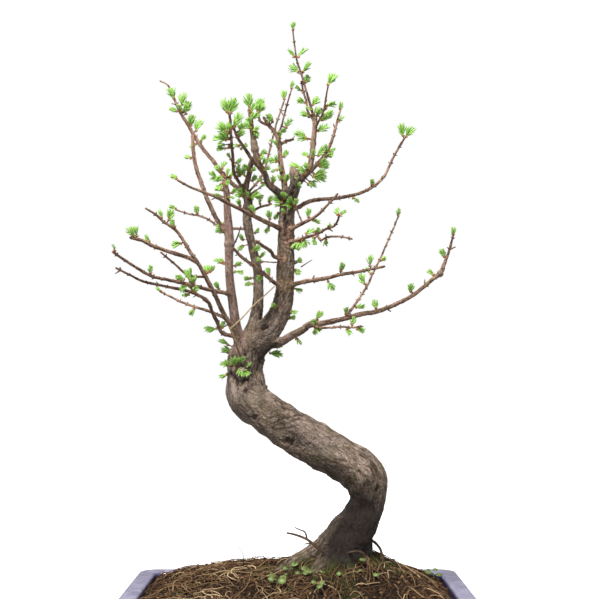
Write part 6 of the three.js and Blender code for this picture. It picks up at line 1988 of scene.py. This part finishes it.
@dataclass
class Greens:
    """Moss on the soil and at the trunk's foot, and seedlings with lobed leaves."""

    moss_patches: tuple[tuple[float, float, float, int], ...] = (
        (320, 567, 18, 620), (341, 574, 16, 520), (300, 570, 11, 260), (368, 557, 14, 520),
        (390, 566, 16, 420), (262, 572, 14, 260), (348, 592, 10, 120), (284, 590, 10, 160),
        (180, 594, 9, 110),
    )
    lobes: int = 7
    # Foot on the sheet, leaves, leaf size and height; the first three stand for the nodes of that number
    seedlings: tuple[tuple[float, float, int, float, float], ...] = (
        (277, 588, 4, 10, 9), (318, 592, 3, 8, 7), (434, 580, 3, 9, 8),
        (296, 567, 2, 8, 5), (302, 577, 3, 8, 4), (289, 573, 2, 7, 4), (315, 575, 2, 9, 4),
        (343, 578, 1, 6, 4), (360, 563, 2, 7, 5), (378, 577, 1, 8, 4), (363, 573, 1, 5, 3),
        (284, 579, 1, 5, 3),
    )

    def build(self, moss: Material, leaf: Material) -> None:
        """Builds the moss and the seedlings."""
        numbers = Random(SEED + 2)
        self.build_moss(moss, numbers)
        self.leaves = [self.make_leaf(numbers) for _ in range(4)]
        small = Crowd("tone")
        for i, seedling in enumerate(self.seedlings):
            node = f"seedling_{i + 1}"
            weed = Crowd("tone") if node in frame["nodes"] else small
            self.add_seedling(weed, seedling, numbers)
            if weed is not small:
                finish_piece(weed.mesh(f"weed_{i + 1}"), f"weed_{i + 1}", leaf, [node])
        finish_piece(small.mesh("weeds_small"), "weeds_small", leaf)

    def build_moss(self, material: Material, numbers: Random) -> None:
        """Builds moss as close crowds of short pointed shoots."""
        bm = bmesh.new()
        bmesh.ops.create_cone(bm, cap_ends=True, segments=4, radius1=0.5, radius2=0.08, depth=1.0)
        shoot = Shape.take(bm)
        moss = Crowd("tone")
        for across, down, radius, count in self.moss_patches:
            middle = GROUND.seen_at(across, down)
            for _ in range(count):
                far = radius * math.sqrt(numbers.random())
                turn = numbers.uniform(0, FULL_TURN)
                x, y = middle[0] + far * math.cos(turn), middle[1] + far * math.sin(turn)
                tall = numbers.uniform(1.2, 3.0)
                lean = Matrix.Rotation(numbers.uniform(-0.5, 0.5), 4, "X")
                lean = lean @ Matrix.Rotation(numbers.uniform(-0.5, 0.5), 4, "Y")
                place = Matrix.Translation((x, y, GROUND.top(x, y) + tall * 0.35)) @ lean
                moss.add(shoot, place @ Matrix.Diagonal((1.1, 1.1, tall, 1)), tone=numbers.random())
        finish_piece(moss.mesh("moss"), "moss", material)

    def add_seedling(self, weed: Crowd, seedling: tuple[float, float, int, float, float],
                     numbers: Random) -> None:
        """Adds a seedling: a short stem and lobed leaves on thin stalks."""
        across, down, leaves, leaf_size, height = seedling
        foot = Vector(GROUND.seen_at(across, down))
        foot.z = GROUND.top(foot.x, foot.y)
        top = foot + Vector((0, 0, height * 0.6))
        stem = Limb("stem", [foot - Vector((0, 0, 4)), (foot + top) / 2, top], (1.2, 0.9))
        weed.add(Shape.bar(stem, 6, 2.0), tone=0.2)
        turn = numbers.uniform(0, FULL_TURN)
        for _ in range(leaves):
            half = leaf_size * numbers.uniform(0.6, 0.95) / 2
            turn += FULL_TURN / leaves + numbers.uniform(-0.3, 0.3)
            out = Vector((math.cos(turn), math.sin(turn), 0))
            hold = top + out * half * 0.9 + Vector((0, 0, height * numbers.uniform(0.2, 0.5)))
            stalk = Limb("stalk", [top, (top + hold) / 2 + Vector((0, 0, 0.6)), hold], (0.8, 0.6), 0.5)
            weed.add(Shape.bar(stalk, 5, 1.5), tone=0.3)
            face = Vector((numbers.uniform(-0.4, 0.4), numbers.uniform(-1.1, -0.2), 1)).normalized()
            along = (out - face * out.dot(face)).normalized()
            matrix = basis(along * half, face.cross(along) * half, face * half, hold + along * half * 0.85)
            weed.add(numbers.choice(self.leaves), matrix, tone=numbers.random())

    def make_leaf(self, numbers: Random) -> Shape:
        """Makes a round leaf of radius one with shallow lobes and a notch at its stalk, cupped a little."""
        bm = bmesh.new()
        bmesh.ops.create_circle(bm, cap_ends=True, segments=28, radius=1.0)
        bmesh.ops.inset_region(bm, faces=bm.faces[:], thickness=0.4, depth=0.0)
        middle = max(bm.faces, key=lambda face: len(face.verts))
        bmesh.ops.poke(bm, faces=[middle])
        turn = numbers.uniform(-0.3, 0.3)
        for vertex in bm.verts:
            angle = math.atan2(vertex.co.y, vertex.co.x)
            far = vertex.co.xy.length
            ripple = math.cos(self.lobes * angle + turn)
            notch = 0.4 * far * max(0.0, -math.cos(angle)) ** 14
            vertex.co.xy *= 1 + 0.1 * far * ripple - notch
            vertex.co.z = 0.2 * far**2 + 0.07 * far * ripple
        bmesh.ops.recalc_face_normals(bm, faces=bm.faces)
        bmesh.ops.solidify(bm, geom=bm.faces[:], thickness=0.07)
        return Shape.take(bm)


@dataclass
class DeadStems:
    """Dead straw and twigs caught in the tree: points on the sheet with their depth, and widths."""

    straws: tuple[tuple[tuple[Triple, ...], Pair, float], ...] = (
        (((274.7, 286, -22), (263, 297, -25), (252, 307, -26), (241, 319, -29), (230.4, 329, -30)),
         (1.2, 1.5), 0.95),
        (((229.5, 327, -30), (233, 335, -31), (236, 344, -31), (240.5, 357, -24)), (2.2, 1.4), 0.72),
        (((235, 243, -24), (238.5, 234, -26), (241, 226, -26)), (1.8, 0.9), 0.3),
        (((301, 267, 4), (307, 263, 0), (312, 260, -4)), (1.3, 0.7), 0.7),
        (((239, 546.7, 30), (242.4, 553.3, 30), (243.6, 556, 30), (243.2, 568, 30)), (0.6, 0.9), 0.1),
        (((261, 553.3, 30), (264, 557, 30), (266.4, 566, 30)), (0.6, 0.9), 0.2),
    )
    # Roots and stalks that lie on the soil: points on the sheet, widths and shade
    lying: tuple[tuple[tuple[Pair, ...], Pair, float], ...] = (
        (((229, 562), (211, 566), (194.4, 571.5), (181.6, 578.3), (170, 586)), (3.4, 2.2), 0.42),
        (((320, 563), (330, 561.5), (341, 561), (351, 562)), (1.8, 2.4), 0.4),
        (((366, 560), (371, 563), (377, 568)), (2.6, 1.6), 0.3),
        (((318, 583), (322, 590), (326, 598)), (1.4, 1.8), 0.6),
    )
    lift: float = 0.9

    def build(self, material: Material) -> None:
        """Builds the dead stems."""
        straws = Crowd("tone")
        for route, widths, tone in self.straws:
            line = Limb("straw", [SHEET.place(*point) for point in route], widths)
            straws.add(Shape.bar(line, 6, 3.0), tone=tone)
        for route, widths, tone in self.lying:
            points = [GROUND.seen_at(*point) + (0, 0, self.lift) for point in route]
            straws.add(Shape.bar(Limb("root", points, widths), 6, 3.0), tone=tone)
        finish_piece(straws.mesh("dead_straw"), "dead_straw", material)


# Studio


@dataclass
class Studio:
    """A pale seamless floor, soft lights and the camera at the photograph's angle."""

    film: float = 36.0
    floor_colour: Colour = (236, 236, 238)
    floor_glow: float = 0.85
    floor_size: float = 12.0
    sky: float = 0.42
    key_power: float = 70.0
    fill_power: float = 6.0

    def build(self) -> None:
        """Sets up the studio."""
        self.add_camera()
        self.add_floor()
        self.add_world()
        self.add_light("key", (-0.5, -0.9, 2.0), 1.0, self.key_power)
        self.add_light("fill", (1.4, -1.4, 1.2), 1.2, self.fill_power)

    def add_camera(self) -> None:
        """Adds the camera."""
        data = bpy.data.cameras.new("camera")
        data.sensor_width = self.film
        data.lens = self.film * SHEET.eye_distance / SHEET.frame_width
        data.clip_start = 0.02
        data.clip_end = 30
        camera = bpy.data.objects.new("camera", data)
        camera.location = (SHEET.eye_x * MM, -SHEET.eye_distance * MM, SHEET.eye_height * MM)
        camera.rotation_euler = (math.pi / 2 + SHEET.tilt, 0, 0)
        link(camera)
        bpy.context.scene.camera = camera

    def add_floor(self) -> None:
        """Adds the floor."""
        bm = bmesh.new()
        bmesh.ops.create_grid(bm, x_segments=1, y_segments=1, size=self.floor_size)
        mesh = bpy.data.meshes.new("floor")
        bm.to_mesh(mesh)
        bm.free()
        paint = Paint("floor")
        shade = paint.noise(paint.place(), 3, 2)
        paint.set(Base_Color=paint.ramp(shade, (0, self.floor_colour), (1, (246, 246, 248))), Roughness=0.8)
        paint.set(Emission_Color=(1.0, 1.0, 1.0, 1.0), Emission_Strength=self.floor_glow)
        mesh.materials.append(paint.material)
        floor = bpy.data.objects.new("floor", mesh)
        floor.visible_diffuse = False
        link(floor)

    def add_world(self) -> None:
        """Adds the soft white surround: bright to the eye, softer as a light."""
        world = bpy.data.worlds.new("studio")
        world.use_nodes = True
        bpy.context.scene.world = world
        tree = world.node_tree
        seen = tree.nodes["Background"]
        seen.inputs["Color"].default_value = (1, 1, 1, 1)
        seen.inputs["Strength"].default_value = 1.0
        light = tree.nodes.new("ShaderNodeBackground")
        light.inputs["Strength"].default_value = self.sky
        path = tree.nodes.new("ShaderNodeLightPath")
        mix = tree.nodes.new("ShaderNodeMixShader")
        tree.links.new(path.outputs["Is Camera Ray"], mix.inputs[0])
        tree.links.new(light.outputs[0], mix.inputs[1])
        tree.links.new(seen.outputs[0], mix.inputs[2])
        tree.links.new(mix.outputs[0], tree.nodes["World Output"].inputs["Surface"])

    def add_light(self, name: str, place: Triple, size: float, power: float) -> None:
        """Adds a soft light that looks at the tree's middle."""
        data = bpy.data.lights.new(name, "AREA")
        data.size = size
        data.energy = power
        lamp = bpy.data.objects.new(name, data)
        lamp.location = place
        aim = Vector((0, 0, 0.3)) - Vector(place)
        lamp.rotation_euler = aim.to_track_quat("-Z", "Y").to_euler()
        link(lamp)


def main() -> None:
    """Builds every piece round the frame."""
    logging.basicConfig(level=logging.INFO, format="%(relativeCreated)d %(name)s %(message)s")
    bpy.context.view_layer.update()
    bpy.context.scene.view_settings.view_transform = "Standard"
    Studio().build()
    skeleton = Skeleton()
    skeleton.lay()
    bark = BarkFinish().material()
    fibre = LitterFinish().material()
    Wood(skeleton).build(bark)
    Foliage(skeleton).build(NeedleFinish().material(), ScaleFinish().material())
    Pot().build(GlazeFinish().material())
    Soil().build(SoilFinish().material(), fibre)
    moss = LeafFinish("moss", (36, 42, 18), (118, 116, 44), 0.85).material()
    leaf = LeafFinish("seedling", (84, 100, 48), (136, 156, 84), 0.5).material()
    Greens().build(moss, leaf)
    DeadStems().build(fibre)
    plastic = MeshFinish().material()
    for name, node in frame["nodes"].items():
        if name.startswith("drain_screen"):
            node.data.materials.clear()
            node.data.materials.append(plastic)
    bpy.context.view_layer.update()


if __name__ == "__main__":
    main()
